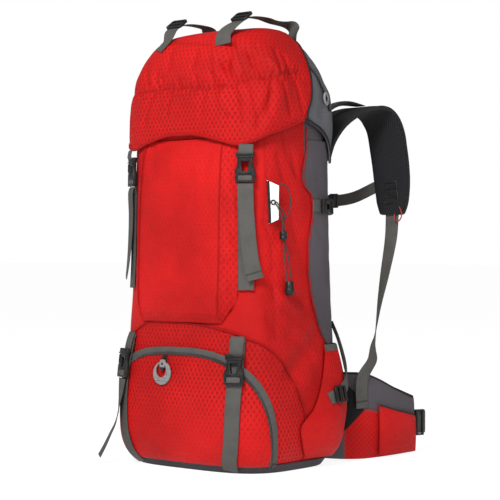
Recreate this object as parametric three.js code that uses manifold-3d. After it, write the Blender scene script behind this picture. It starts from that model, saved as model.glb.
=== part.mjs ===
// A hiking backpack of the 60 litre class, standing on its base.
// Millimetres, +Z up, the front towards -Y, the harness towards +Y.
// The origin is the middle of the base, on the floor.
import * as THREE from "three";
import * as BufferGeometryUtils from "three/addons/utils/BufferGeometryUtils.js";
import Module from "manifold-3d";

const wasm = await Module();
wasm.setup();

// Driving dimensions
const packHeight = 704;
const bodyWidth = 296;
const bodyDepth = 216;
const cloth = 2;
const lidCloth = 2.2;
const seat = 0.8;
const clearance = 0.4;
const panHeight = 14;
const panFloor = 2.2;

const webWidth = 25;
const webThick = 1.6;
const foldRadius = 2.6;
const sideWebWidth = 20;
const hipWebWidth = 38;

const buckleWidth = 33;
const buckleLength = 47;
const buckleThick = 8;
const ladderLength = 24;
const ladderThick = 5;

const pocketProud = 14;
const doorBulge = 5;
const sidePocketBulge = 19;
const foldWidth = 14;
const foldDepth = 4;
const zipCoverWidth = 12;

const padWidth = 66;
const padThick = 12;
const backPadThick = 10;
const harnessReach = 158;
const wingThick = 12;
const wingReach = 168;
const wingHeight = 142;
const hipPocketBulge = 7;

const cordDiameter = 2;
const cordLockRadius = 6;
const cordLockLength = 13;
const cordEndRadius = 7.3;
const cordEndLength = 21;

// Colours
const colour = { red: 0xc21c18, grey: 0x56505a, webbing: 0x6b6a65, black: 0x1c1c1e, white: 0xdcdcda };

const V = (x, y, z) => new THREE.Vector3(x, y, z);
const mix = (a, b, k) => a + (b - a) * k;
const clamp01 = (k) => Math.min(1, Math.max(0, k));

// Tables: a row is read by its column names
function table(columns, rows) {
  return rows.map((row) => Object.fromEntries(columns.map((name, i) => [name, row[i]])));
}

// A smooth curve through one column of a table, read at a value of the key column
function along(rows, key, column, at) {
  const last = rows.length - 1;
  const x = clampTo(at, rows[0][key], rows[last][key]);
  let i = 0;
  while (i < last - 1 && x > rows[i + 1][key]) i += 1;
  const slope = (j) => {
    const a = rows[Math.max(0, j - 1)];
    const b = rows[Math.min(last, j + 1)];
    return (b[column] - a[column]) / (b[key] - a[key]);
  };
  const span = rows[i + 1][key] - rows[i][key];
  const t = (x - rows[i][key]) / span;
  const stay = (1 + 2 * t) * (1 - t) ** 2;
  const rise = t * (1 - t) ** 2 * span * slope(i);
  const fall = t * t * (t - 1) * span * slope(i + 1);
  return stay * rows[i][column] + (1 - stay) * rows[i + 1][column] + rise + fall;
}

function clampTo(value, low, high) {
  return Math.min(high, Math.max(low, value));
}

// Sections of the bag and of its lid. Height is a share of packHeight, half width a share of
// bodyWidth, front and back are shares of bodyDepth, and square is the corner's power.
const bagSections = table(["height", "half", "front", "back", "square"], [
  [0.0, 0.473, 0.51, 0.45, 3.6],
  [0.036, 0.524, 0.588, 0.495, 3.8],
  [0.1, 0.547, 0.62, 0.518, 3.8],
  [0.185, 0.544, 0.61, 0.514, 3.8],
  [0.284, 0.527, 0.577, 0.505, 3.8],
  [0.426, 0.513, 0.542, 0.49, 3.8],
  [0.568, 0.506, 0.532, 0.481, 3.8],
  [0.71, 0.5, 0.525, 0.477, 3.8],
  [0.78, 0.494, 0.516, 0.468, 3.7],
  [0.82, 0.465, 0.475, 0.43, 3.4],
]);
const lidSections = table(["height", "half", "front", "back", "square"], [
  [0.66, 0.522, 0.568, 0.497, 3.8],
  [0.717, 0.527, 0.572, 0.508, 3.8],
  [0.768, 0.532, 0.575, 0.516, 3.7],
  [0.81, 0.531, 0.578, 0.516, 3.5],
  [0.852, 0.524, 0.566, 0.49, 3.4],
  [0.909, 0.484, 0.528, 0.408, 3.1],
  [0.953, 0.419, 0.463, 0.292, 2.8],
  [0.978, 0.362, 0.345, 0.228, 2.5],
  [0.99, 0.297, 0.185, 0.25, 2.4],
  [0.9955, 0.19, 0.06, 0.262, 2.3],
  [1.0, 0.075, 0.012, 0.18, 2.2],
]);
const rimHeight = 0.82 * packHeight;

// Folds and creases, as lines on the cloth: a share of the half perimeter and of packHeight at
// each end, with the width as a share of foldWidth and the depth as a share of foldDepth.
const bagFolds = table(["u0", "h0", "u1", "h1", "wide", "deep"], [
  [0.335, 0.53, 0.358, 0.3, 1.0, -0.9],
  [0.405, 0.38, 0.47, 0.345, 1.3, 0.6],
  [0.4, 0.255, 0.53, 0.325, 1.3, 0.8],
  [0.43, 0.225, 0.55, 0.285, 1.2, -0.7],
  [0.44, 0.19, 0.52, 0.205, 1.0, 0.6],
  [0.47, 0.54, 0.5, 0.44, 1.4, -0.5],
  [0.45, 0.66, 0.48, 0.6, 1.2, 0.5],
  [0.43, 0.62, 0.4, 0.7, 1.0, -0.5],
  [0.36, 0.15, 0.4, 0.05, 1.0, 0.4],
]);
const lidFolds = table(["u0", "h0", "u1", "h1", "wide", "deep"], [
  [-0.3, 0.853, 0.16, 0.849, 0.8, -1.0],
  [0.16, 0.849, 0.27, 0.868, 0.8, -0.9],
  [0.27, 0.868, 0.49, 0.882, 0.8, -0.8],
  [0.26, 0.87, 0.25, 0.95, 0.8, -0.5],
  [0.4, 0.885, 0.37, 0.915, 0.9, 0.7],
  [0.45, 0.865, 0.44, 0.81, 1.0, -0.6],
  [0.33, 0.8, 0.4, 0.85, 1.3, 0.5],
  [-0.2, 0.87, -0.23, 0.91, 0.9, -0.7],
  [-0.12, 0.86, -0.14, 0.89, 0.8, -0.6],
  [0.6, 0.8, 0.63, 0.87, 1.1, -0.8],
  [0.66, 0.76, 0.68, 0.84, 1.1, 0.6],
  [-0.695, 0.74, -0.705, 0.83, 1.2, 0.7],
]);

// One section's half outline, from the front middle round to the back middle
const outlineSteps = 120;
function outline(sections, z) {
  const read = (column) => along(sections, "height", column, z / packHeight);
  const power = 2 / read("square");
  const half = read("half") * bodyWidth;
  const front = read("front") * bodyDepth;
  const back = read("back") * bodyDepth;
  const points = [];
  let length = 0;
  for (let i = 0; i <= outlineSteps; i += 1) {
    const angle = (Math.PI * i) / outlineSteps;
    const c = Math.cos(angle);
    const x = half * Math.max(0, Math.sin(angle)) ** power;
    const y = c > 0 ? -front * c ** power : back * Math.abs(c) ** power;
    if (i > 0) length += Math.hypot(x - points[i - 1].x, y - points[i - 1].y);
    points.push({ x, y, length });
  }
  return points;
}

// A skin is a surface over those sections: around is the share of the half perimeter, 0 at the
// front middle, 1 at the back middle, minus on the left. Proud is measured out of the cloth.
// A two sided skin has each fold on the left as on the right.
function skin(sections, folds, twoSided) {
  const known = new Map();
  const outlineAt = (z) => {
    const key = Math.round(z * 8);
    if (!known.has(key)) known.set(key, outline(sections, key / 8));
    return known.get(key);
  };
  const bare = (around, z) => {
    const turned = around > 1 ? around - 2 : around < -1 ? around + 2 : around;
    const points = outlineAt(z);
    const target = Math.abs(turned) * points[outlineSteps].length;
    let i = 1;
    while (i < outlineSteps && points[i].length < target) i += 1;
    const a = points[i - 1];
    const b = points[i];
    const k = (target - a.length) / (b.length - a.length);
    return V(Math.sign(turned) * mix(a.x, b.x, k), mix(a.y, b.y, k), z);
  };
  const halfPerimeter = (z) => outlineAt(z)[outlineSteps].length;
  const relief = (turned, z) => {
    const around = twoSided ? Math.abs(turned) : turned;
    const size = halfPerimeter(z);
    let sum = 0;
    for (const fold of folds) {
      const ax = fold.u0 * size;
      const az = fold.h0 * packHeight;
      const bx = fold.u1 * size - ax;
      const bz = fold.h1 * packHeight - az;
      const px = around * size - ax;
      const pz = z - az;
      const k = clamp01((px * bx + pz * bz) / (bx * bx + bz * bz));
      const far = Math.hypot(px - k * bx, pz - k * bz) / (fold.wide * foldWidth);
      sum += fold.deep * foldDepth * Math.exp(-far * far);
    }
    return sum;
  };
  const frame = (around, z) => {
    const step = 0.006;
    const across = bare(around + step, z).sub(bare(around - step, z)).normalize();
    const rise = bare(around, z + 2).sub(bare(around, z - 2)).normalize();
    const out = across.clone().cross(rise).normalize();
    return { across, up: out.clone().cross(across).normalize(), out };
  };
  const point = (around, z, proud = 0) => {
    const lift = proud + relief(around, z);
    return bare(around, z).addScaledVector(frame(around, z).out, lift);
  };
  return { point, frame, halfPerimeter };
}
const bag = skin(bagSections, bagFolds, true);
const lid = skin(lidSections, lidFolds, false);

// Closed solids from points
function solid(points, faces) {
  const geometry = new THREE.BufferGeometry();
  const flat = points.flatMap((p) => [p.x, p.y, p.z]);
  geometry.setAttribute("position", new THREE.Float32BufferAttribute(flat, 3));
  geometry.setIndex(faces.flat());
  return geometry;
}

// A loft through closed rings with as many points each, capped at both ends
function loft(rings) {
  const size = rings[0].length;
  const points = rings.flat();
  const faces = [];
  for (let j = 0; j < rings.length - 1; j += 1) {
    for (let i = 0; i < size; i += 1) {
      const next = (i + 1) % size;
      const a = j * size;
      const b = a + size;
      faces.push([a + i, a + next, b + next], [a + i, b + next, b + i]);
    }
  }
  const middle = (ring) => ring.reduce((sum, p) => sum.add(p), V(0, 0, 0)).divideScalar(size);
  const last = (rings.length - 1) * size;
  const first = points.push(middle(rings[0])) - 1;
  const end = points.push(middle(rings[rings.length - 1])) - 1;
  for (let i = 0; i < size; i += 1) {
    const next = (i + 1) % size;
    faces.push([first, next, i], [end, last + i, last + next]);
  }
  return solid(points, faces);
}

// A sheet on a surface: outer and inner give a point for the shares a and b of its two sides
function sheet(columns, rows, outer, inner) {
  const points = [];
  const faces = [];
  const at = (layer, i, j) => layer * (columns + 1) * (rows + 1) + j * (columns + 1) + i;
  for (const place of [outer, inner]) {
    for (let j = 0; j <= rows; j += 1) {
      for (let i = 0; i <= columns; i += 1) points.push(place(i / columns, j / rows));
    }
  }
  for (let j = 0; j < rows; j += 1) {
    for (let i = 0; i < columns; i += 1) {
      const corners = (layer) => [at(layer, i, j), at(layer, i + 1, j), at(layer, i + 1, j + 1), at(layer, i, j + 1)];
      const [a, b, c, d] = corners(0);
      const [e, f, g, h] = corners(1);
      faces.push([a, b, c], [a, c, d], [e, g, f], [e, h, g]);
    }
  }
  const edge = [];
  for (let i = 0; i < columns; i += 1) edge.push([i, 0]);
  for (let j = 0; j < rows; j += 1) edge.push([columns, j]);
  for (let i = columns; i > 0; i -= 1) edge.push([i, rows]);
  for (let j = rows; j > 0; j -= 1) edge.push([0, j]);
  edge.forEach(([i, j], k) => {
    const [m, n] = edge[(k + 1) % edge.length];
    faces.push([at(0, i, j), at(1, i, j), at(1, m, n)], [at(0, i, j), at(1, m, n), at(0, m, n)]);
  });
  return solid(points, faces);
}

// A band swept along a path, with its width turned along the across vectors
function band(path, across, steps, section) {
  const route = new THREE.CatmullRomCurve3(path, false, "centripetal");
  const turn = new THREE.CatmullRomCurve3(across, false, "centripetal");
  const rings = [];
  for (let i = 0; i <= steps; i += 1) {
    const t = i / steps;
    const forward = route.getTangent(t);
    const side = turn.getPoint(t);
    side.addScaledVector(forward, -side.dot(forward)).normalize();
    const up = forward.clone().cross(side);
    const middle = route.getPoint(t);
    rings.push(section(t).map(([a, b]) => middle.clone().addScaledVector(side, a).addScaledVector(up, b)));
  }
  return loft(rings);
}

function flatSection(width, thick) {
  return () => [[-width / 2, -thick / 2], [width / 2, -thick / 2], [width / 2, thick / 2], [-width / 2, thick / 2]];
}

function pillowSection(width, thick, sides) {
  const points = [];
  for (let i = 0; i < sides; i += 1) {
    const angle = (2 * Math.PI * (i + 0.5)) / sides - Math.PI / 2;
    const bow = (value, power) => Math.sign(value) * Math.abs(value) ** power;
    points.push([bow(Math.cos(angle), 0.35) * (width / 2), bow(Math.sin(angle), 0.6) * (thick / 2)]);
  }
  return points;
}

// Webbing whose flat face keeps to a surface: path and the surface's outward directions
function webOver(path, outs, width, steps) {
  const last = path.length - 1;
  const across = path.map((p, i) => {
    const forward = path[Math.min(i + 1, last)].clone().sub(path[Math.max(i - 1, 0)]);
    return outs[i].clone().cross(forward).normalize();
  });
  return band(path, across, steps, flatSection(width, webThick));
}

// Webbing laid on a skin: each row gives the place and how far its middle stands proud
function webOnSkin(surface, rows, width, steps) {
  const path = rows.map((row) => surface.point(row.around, row.height * packHeight, row.proud));
  const outs = rows.map((row) => surface.frame(row.around, row.height * packHeight).out);
  return webOver(path, outs, width, steps);
}

// Flat moulded pieces, drawn in their own plane with the back face at zero
function plate(points, holes, thick) {
  const shape = new THREE.Shape(points.map(([x, y]) => new THREE.Vector2(x, y)));
  for (const hole of holes) shape.holes.push(new THREE.Path(hole.map(([x, y]) => new THREE.Vector2(x, y))));
  return new THREE.ExtrudeGeometry(shape, { depth: thick, bevelEnabled: false });
}

function placed(geometry, origin, x, y) {
  const z = x.clone().cross(y);
  return geometry.applyMatrix4(new THREE.Matrix4().makeBasis(x, y, z).setPosition(origin));
}

function placedOnSkin(geometry, surface, around, z, proud, tilt = 0) {
  const { across, up, out } = surface.frame(around, z);
  const x = across.clone().applyAxisAngle(out, tilt);
  const y = up.clone().applyAxisAngle(out, tilt);
  return placed(geometry, surface.point(around, z, proud), x, y);
}

function block(left, bottom, right, top) {
  return [[left, bottom], [right, bottom], [right, top], [left, top]];
}

// A side release buckle: outline by rows of height and half width, as shares of its two sizes
const buckleOutline = table(["height", "half"], [
  [-0.5, 0.42],
  [-0.47, 0.47],
  [-0.1, 0.48],
  [0.06, 0.36],
  [0.3, 0.36],
  [0.38, 0.44],
  [0.47, 0.44],
  [0.5, 0.4],
]);
function sideBuckle(webSize) {
  const width = buckleWidth * (webSize / webWidth);
  const length = buckleLength * (webSize / webWidth);
  const right = buckleOutline.map((row) => [row.half * width, row.height * length]);
  const left = right.map(([x, y]) => [-x, y]).reverse();
  const window = [[-0.12, -0.14], [0.12, -0.14], [0.19, 0.2], [-0.19, 0.2]].map(([x, y]) => [x * width, y * length]);
  const slot = block(-0.37 * width, -0.4 * length, 0.37 * width, -0.29 * length);
  return plate([...right, ...left], [window.reverse(), slot.reverse()], buckleThick * (webSize / webWidth));
}

// A ladder lock: a frame with two slots
function ladderLock(webSize) {
  const half = webSize / 2 + 3.5;
  const long = ladderLength / 2;
  const cut = 3;
  const frame = [[-half + cut, -long], [half - cut, -long], [half, -long + cut], [half, long - cut],
    [half - cut, long], [-half + cut, long], [-half, long - cut], [-half, -long + cut]];
  const inside = webSize / 2 + 0.5;
  const low = block(-inside, -long + 4, inside, -2.5).reverse();
  const high = block(-inside, 2.5, inside, long - 4).reverse();
  return plate(frame, [low, high], ladderThick);
}

// Boolean cuts
function toManifold(geometry) {
  const bare = geometry.clone();
  bare.deleteAttribute("normal");
  bare.deleteAttribute("uv");
  const merged = BufferGeometryUtils.mergeVertices(bare, 1e-4);
  return new wasm.Manifold(new wasm.Mesh({
    numProp: 3,
    vertProperties: new Float32Array(merged.attributes.position.array),
    triVerts: new Uint32Array(merged.index.array),
  }));
}

function fromManifold(body) {
  const mesh = body.simplify(0.05).getMesh();
  const geometry = new THREE.BufferGeometry();
  geometry.setAttribute("position", new THREE.BufferAttribute(new Float32Array(mesh.vertProperties), 3));
  geometry.setIndex(new THREE.BufferAttribute(new Uint32Array(mesh.triVerts), 1));
  return geometry;
}

function mirrored(geometry) {
  const copy = geometry.clone().scale(-1, 1, 1);
  if (!copy.index) return mirrored(BufferGeometryUtils.mergeVertices(geometry));
  const index = copy.index.array;
  for (let i = 0; i < index.length; i += 3) [index[i], index[i + 1]] = [index[i + 1], index[i]];
  return copy;
}

const pack = new THREE.Group();
function add(name, geometry, tint, roughness = 0.8, metalness = 0) {
  const material = new THREE.MeshStandardMaterial({ color: tint, roughness, metalness });
  const mesh = new THREE.Mesh(geometry, material);
  mesh.name = name;
  pack.add(mesh);
}
function addPair(name, geometry, tint, roughness) {
  add(`${name}_r`, geometry, tint, roughness);
  add(`${name}_l`, mirrored(geometry), tint, roughness);
}

// Main bag: a cloth tube with a floor, open at its gathered rim under the lid
const bagColumns = 44;
function ringOn(surface, height, proud) {
  const ring = [];
  for (let i = 0; i < bagColumns; i += 1) {
    const around = -1 + (2 * i) / bagColumns;
    ring.push(surface.point(around, height(around), proud));
  }
  return ring;
}
function mainBag() {
  const floor = panFloor + clearance;
  const outside = [0, 0.016, 0.038, 0.075, 0.13, 0.21, 0.3, 0.38, 0.47, 0.6, 0.76, 0.9, 1];
  const inside = [1, 0.76, 0.6, 0.47, 0.38, 0.3, 0.21, 0.075, 0];
  const outer = outside.map((share) => ringOn(bag, () => mix(floor, rimHeight, share), 0));
  const inner = inside.map((share) => ringOn(bag, () => mix(floor + cloth, rimHeight, share), -cloth));
  return loft([...outer, ...inner]);
}
add("main_bag", mainBag(), colour.red);

// Base panel: a shallow pan of coated cloth that the bag is sewn into, flat underneath
function basePanel() {
  const ring = (z, proud) => ringOn(bag, () => z, proud);
  const outside = seat + cloth;
  const lowered = (points, z) => points.map((p) => V(p.x, p.y, z));
  const floor = lowered(ring(panFloor, -1), 0);
  return loft([floor, ring(panFloor, outside - 0.6), ring(panHeight, outside), ring(panHeight, seat),
    lowered(ring(panFloor + 1, seat), panFloor)]);
}
add("base_panel", basePanel(), 0x39353a);

// Front pocket: a front panel between two pleated gussets. Edge is where the panel turns, foot is
// where the gusset meets the bag, and proud is the share of pocketProud at the panel's edge.
const pocketRows = table(["height", "edge", "foot", "proud"], [
  [0.329, 0.172, 0.176, 0.1],
  [0.35, 0.176, 0.2, 0.65],
  [0.378, 0.18, 0.228, 0.9],
  [0.44, 0.184, 0.236, 1.0],
  [0.54, 0.185, 0.238, 1.0],
  [0.63, 0.185, 0.24, 0.85],
  [0.7, 0.184, 0.24, 0.5],
  [0.735, 0.182, 0.24, 0.05],
]);
const pocketColumns = table(["across", "proud"], [
  [-1, 0], [-0.55, 0.45], [0, 1], [0.07, 1.08], [0.22, 1.2], [0.37, 1.28], [0.5, 1.3],
]);
function frontPocket() {
  const bottom = pocketRows[0].height;
  const top = pocketRows[pocketRows.length - 1].height;
  const count = pocketColumns.length - 1;
  const place = (a, b, lift) => {
    const height = mix(bottom, top, b);
    const side = a < 0.5 ? -1 : 1;
    const row = pocketColumns[Math.round((0.5 - Math.abs(a - 0.5)) * 2 * count)];
    const edge = along(pocketRows, "height", "edge", height);
    const foot = along(pocketRows, "height", "foot", height);
    const share = row.across < 0 ? mix(edge, foot, -row.across) : edge * (1 - 2 * row.across);
    const proud = along(pocketRows, "height", "proud", height) * row.proud * pocketProud;
    return bag.point(side * share, height * packHeight, seat + proud + lift);
  };
  return sheet(2 * count, 8, (a, b) => place(a, b, cloth), (a, b) => place(a, b, 0));
}
add("front_pocket", frontPocket(), colour.red);

// Lower door and the zip cover round it: arches whose half width is a share of the half
// perimeter and whose height is a share of packHeight
const doorArch = { half: 0.348, height: 0.259, power: 2.9 };
function archPoint(share, inset) {
  const crowded = mix(share, Math.sin((share * Math.PI) / 2), 0.8);
  const angle = (crowded * Math.PI) / 2;
  const bow = (value) => Math.max(0, value) ** (2 / doorArch.power);
  const level = doorArch.height * packHeight;
  const along01 = { side: Math.sign(share) * bow(Math.abs(Math.sin(angle))), up: bow(Math.cos(angle)) };
  const z = Math.max(panHeight + 1, (level - inset) * along01.up);
  return { around: (doorArch.half - inset / bag.halfPerimeter(z)) * along01.side, z };
}
function lowerDoor() {
  const place = (a, b, lift) => {
    const arch = archPoint(2 * a - 1, 1);
    const z = mix(panHeight + 1, arch.z + 0.01, b ** 1.4);
    const swell = doorBulge * Math.sin(Math.PI * a) ** 0.7 * Math.sin(Math.PI * mix(0.12, 0.93, b)) ** 0.8;
    return bag.point(arch.around, z + 0.02 * b, seat + swell + lift);
  };
  return sheet(16, 5, (a, b) => place(a, b, cloth), (a, b) => place(a, b, 0));
}
function zipCover() {
  const place = (a, b, lift) => {
    const arch = archPoint(mix(-0.985, 0.985, a), -mix(0.5, zipCoverWidth, b));
    return bag.point(arch.around, arch.z, seat + 0.3 + lift);
  };
  return sheet(26, 1, (a, b) => place(a, b, cloth + 1), (a, b) => place(a, b, 0));
}
add("lower_door", lowerDoor(), colour.red);
add("zip_cover", zipCover(), colour.webbing);

// Zip pullers: a big open hook on the door, a small loop on the lid
function ringPlate(outer, inner, sides, thick, squeeze) {
  const turn = (radius) => Array.from({ length: sides }, (_, i) => {
    const angle = (2 * Math.PI * i) / sides;
    return [radius * Math.cos(angle), radius * squeeze * Math.sin(angle)];
  });
  return plate(turn(outer), [turn(inner).reverse()], thick);
}
const doorProud = seat + cloth + doorBulge;
add("zip_puller", placedOnSkin(ringPlate(18, 11, 14, 3.5, 1), bag, -0.05, 0.213 * packHeight, doorProud - 1.2), colour.webbing);
add("lid_puller", placedOnSkin(ringPlate(8.5, 4.5, 10, 3, 1.3), lid, 0.625, 0.832 * packHeight, 1.7), colour.webbing);

// Side panels of grey cloth, and the side pockets below them
const sidePanelFront = table(["height", "around"], [
  [0.277, 0.62], [0.31, 0.581], [0.355, 0.552], [0.4, 0.534], [0.467, 0.526], [0.52, 0.534],
  [0.568, 0.552], [0.612, 0.546], [0.63, 0.51], [0.66, 0.5], [0.713, 0.522], [0.765, 0.523],
]);
const sidePanelBack = 0.745;
function sidePanel() {
  const place = (a, b, lift) => {
    const height = mix(0.277, 0.735, b);
    const around = mix(along(sidePanelFront, "height", "around", height), sidePanelBack, a);
    return bag.point(around, height * packHeight, seat + 0.6 + lift);
  };
  return sheet(8, 9, (a, b) => place(a, b, cloth), (a, b) => place(a, b, 0));
}
addPair("side_panel", sidePanel(), colour.grey);

// Side pocket: front edge and how far it swells, as a share of sidePocketBulge
const sidePocketRows = table(["height", "around", "swell"], [
  [0.03, 0.505, 0.35], [0.06, 0.48, 0.8], [0.1, 0.47, 1.0], [0.14, 0.535, 1.0], [0.2, 0.58, 0.8],
  [0.272, 0.606, 0.3],
]);
const sidePocketBack = 0.728;
function sidePocketPoint(a, height, lift) {
  const around = mix(along(sidePocketRows, "height", "around", height), sidePocketBack, a);
  const swell = along(sidePocketRows, "height", "swell", height) * sidePocketBulge;
  const bow = Math.max(0, Math.sin(Math.PI * a ** 1.25)) ** 0.8;
  return bag.point(around, height * packHeight, seat + 0.5 + swell * bow + lift);
}
function sidePocket() {
  const place = (a, b, lift) => sidePocketPoint(a, mix(0.03, 0.272, b), lift);
  return sheet(8, 7, (a, b) => place(a, b, cloth), (a, b) => place(a, b, 0));
}
addPair("side_pocket", sidePocket(), colour.red);

// Lid: a cloth dome with a scalloped hem, cut into a red crown and a grey rear
const hem = table(["around", "height"], [
  [0, 0.744], [0.06, 0.743], [0.15, 0.73], [0.21, 0.719], [0.24, 0.717], [0.285, 0.724], [0.34, 0.74],
  [0.43, 0.76], [0.5, 0.776], [0.545, 0.768], [0.59, 0.756], [0.63, 0.736], [0.67, 0.706], [0.69, 0.688],
  [0.708, 0.7], [0.735, 0.79], [0.77, 0.816], [1, 0.82],
]);
const lidRows = [0, 0.2, 0.4, 0.57, 0.72, 0.84, 0.92, 0.97, 0.99];
function lidShell() {
  const level = (share) => (around) => {
    const low = along(hem, "around", "height", Math.abs(around)) * packHeight;
    return mix(low, packHeight, share);
  };
  const outer = lidRows.map((share) => ringOn(lid, level(share), 0));
  const inner = [0, 0.4, 0.72, 0.9, 0.965].map((share) => ringOn(lid, level(share), -lidCloth)).reverse();
  return toManifold(loft([...inner, ...outer]));
}

// The seam between crown and rear, seen from the side: depth as a share of bodyDepth
const lidSeam = table(["height", "depth"], [
  [0.64, 0.0], [0.77, 0.012], [0.79, -0.01], [0.82, 0.035], [0.87, 0.068], [0.93, 0.09], [0.97, 0.14], [1.04, 0.26],
]);
function lidHalf(side) {
  const far = 2 * bodyDepth;
  const seam = lidSeam.map((row) => [row.depth * bodyDepth + side * (clearance / 2), row.height * packHeight]);
  const ends = [[side * far, 1.04 * packHeight], [side * far, 0.64 * packHeight]];
  const shape = new THREE.Shape([...seam, ...ends].map(([y, z]) => new THREE.Vector2(y, z)));
  const cutter = new THREE.ExtrudeGeometry(shape, { depth: 2 * bodyWidth, bevelEnabled: false });
  cutter.applyMatrix4(new THREE.Matrix4().makeBasis(V(0, 1, 0), V(0, 0, 1), V(1, 0, 0)).setPosition(-bodyWidth, 0, 0));
  return lidShell().intersect(toManifold(cutter));
}

// The crown's hem carries a webbing tab for each front buckle
function hemTab() {
  const rows = [0.704, 0.712, 0.722].map((height) => height * packHeight);
  const path = rows.map((z) => lid.point(0.262, z, -lidCloth / 2));
  return band(path, rows.map((z) => lid.frame(0.262, z).across), 3, flatSection(webWidth, webThick));
}
function lidCrown() {
  const tab = hemTab();
  return fromManifold(lidHalf(-1).add(toManifold(tab)).add(toManifold(mirrored(tab))));
}
add("lid_crown", lidCrown(), colour.red);
add("lid_rear", fromManifold(lidHalf(1)), colour.grey);

// Front straps: webbing from the lid's hem, under its buckle, folded back on itself as a tail
function strapWithTail(surfaceRows, tailRows) {
  const down = surfaceRows.map((row) => bag.point(row.around, row.height * packHeight, row.proud));
  const tail = tailRows.map((row) => bag.point(row.around, row.height * packHeight, row.proud));
  const turns = [...surfaceRows, ...tailRows].map((row) => bag.frame(row.around, row.height * packHeight).across);
  return band([...down, ...tail], turns, 22, flatSection(webWidth, webThick));
}
const strapRows = ["around", "height", "proud"];
const frontStrap = strapWithTail(
  table(strapRows, [
    [0.262, 0.402, 4], [0.262, 0.45, 4], [0.262, 0.52, 4.3], [0.262, 0.58, 4.8], [0.262, 0.6255, 5.4],
  ]),
  table(strapRows, [
    [0.262, 0.6335, 5.6 + foldRadius], [0.263, 0.6255, 5.6 + 2 * foldRadius], [0.265, 0.57, 9.4],
    [0.271, 0.51, 9.4], [0.28, 0.46, 10.5], [0.292, 0.425, 12],
  ]),
);
addPair("front_strap", frontStrap, colour.webbing);
const frontBuckle = placedOnSkin(sideBuckle(webWidth), bag, 0.262, 0.6692 * packHeight, 5.3);
addPair("front_buckle", frontBuckle, colour.black, 0.5);

// Lower straps: the same over the lower door, sewn into the base
const lowerStrap = webOnSkin(bag, table(strapRows, [
  [0.213, 0.011, 4.7], [0.214, 0.02, 6.2], [0.216, 0.036, 7.9], [0.221, 0.06, 8.9], [0.225, 0.1, 9.3],
  [0.228, 0.15, 9.2], [0.232, 0.2, 8.1], [0.235, 0.25, 5.9], [0.236, 0.296, 1.9],
]), webWidth, 14);
addPair("lower_strap", lowerStrap, colour.webbing);
const lowerBuckle = placedOnSkin(sideBuckle(webWidth), bag, 0.233, 0.229 * packHeight, 9.6);
addPair("lower_buckle", lowerBuckle, colour.black, 0.5);

// The left one's spare webbing hangs loose from its buckle, turns on edge and swings outwards
const tailSwing = V(-0.77, -0.64, 0);
const tailDrop = table(["out", "drop", "turned"], [
  [0, 0, 0], [0.11, 0.035, 0.35], [0.2, 0.058, 0.7], [0.28, 0.08, 0.9], [0.46, 0.104, 0.9], [0.75, 0.126, 0.85],
  [1.12, 0.154, 0.8], [1.48, 0.178, 0.8],
]);
function looseTail() {
  const foot = bag.point(-0.2325, 0.1942 * packHeight, 13);
  const across = bag.frame(-0.2325, 0.1942 * packHeight).across;
  const edge = V(0.64, -0.77, 0);
  const path = tailDrop.map((row) => foot.clone().addScaledVector(tailSwing, row.out * webWidth)
    .add(V(0, 0, -row.drop * packHeight)));
  const turns = tailDrop.map((row) => across.clone().lerp(edge, row.turned).normalize());
  return band(path, turns, 12, flatSection(webWidth, webThick));
}
add("lower_tail", looseTail(), colour.webbing);

// Straps over the top of the lid: from a tab on the crown, through a ladder lock, to the rear
function topStrap() {
  const height = (share) => share * packHeight;
  const low = lid.point(0.19, height(0.943), 1.7);
  const rise = lid.point(0.187, height(0.965), 4.2);
  const end = lid.point(0.66, height(0.966), 4.6);
  const path = [low, rise, V(low.x, -0.31 * bodyDepth, height(0.998)), V(low.x, -0.2 * bodyDepth, height(1.012)),
    V(low.x, -0.02 * bodyDepth, height(1.016)), V(low.x, 0.1 * bodyDepth, height(1.012)),
    V(mix(low.x, end.x, 0.6), 0.2 * bodyDepth, height(1.0)), end];
  const across = path.map(() => V(1, 0, 0));
  across[0] = lid.frame(0.19, height(0.943)).across;
  across[1] = lid.frame(0.187, height(0.965)).across;
  across[path.length - 1] = lid.frame(0.66, height(0.966)).across.negate();
  return band(path, across, 16, flatSection(webWidth, webThick));
}
addPair("top_strap", topStrap(), colour.webbing);
function topBuckle() {
  const tilt = 0.36;
  const x = lid.point(0.19, 0.943 * packHeight, 2.2).x;
  const origin = V(x, -0.255 * bodyDepth, 1.0095 * packHeight);
  return placed(ladderLock(webWidth), origin, V(1, 0, 0), V(0, Math.cos(tilt), Math.sin(tilt)));
}
addPair("top_buckle", topBuckle(), colour.black, 0.5);

// Side compression straps, across the grey panel, with a side release buckle each
const sideStrap = webOnSkin(bag, table(strapRows, [
  [0.553, 0.589, 4.7], [0.6, 0.589, 4.7], [0.65, 0.588, 4.9], [0.69, 0.586, 9], [0.72, 0.584, 11], [0.745, 0.583, 5.5],
]), sideWebWidth, 10);
addPair("side_strap", sideStrap, colour.webbing);
const sideBuckleTurned = placedOnSkin(sideBuckle(sideWebWidth), bag, 0.628, 0.588 * packHeight, 5.8, Math.PI / 2);
addPair("side_buckle", sideBuckleTurned, colour.black, 0.5);

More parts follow.
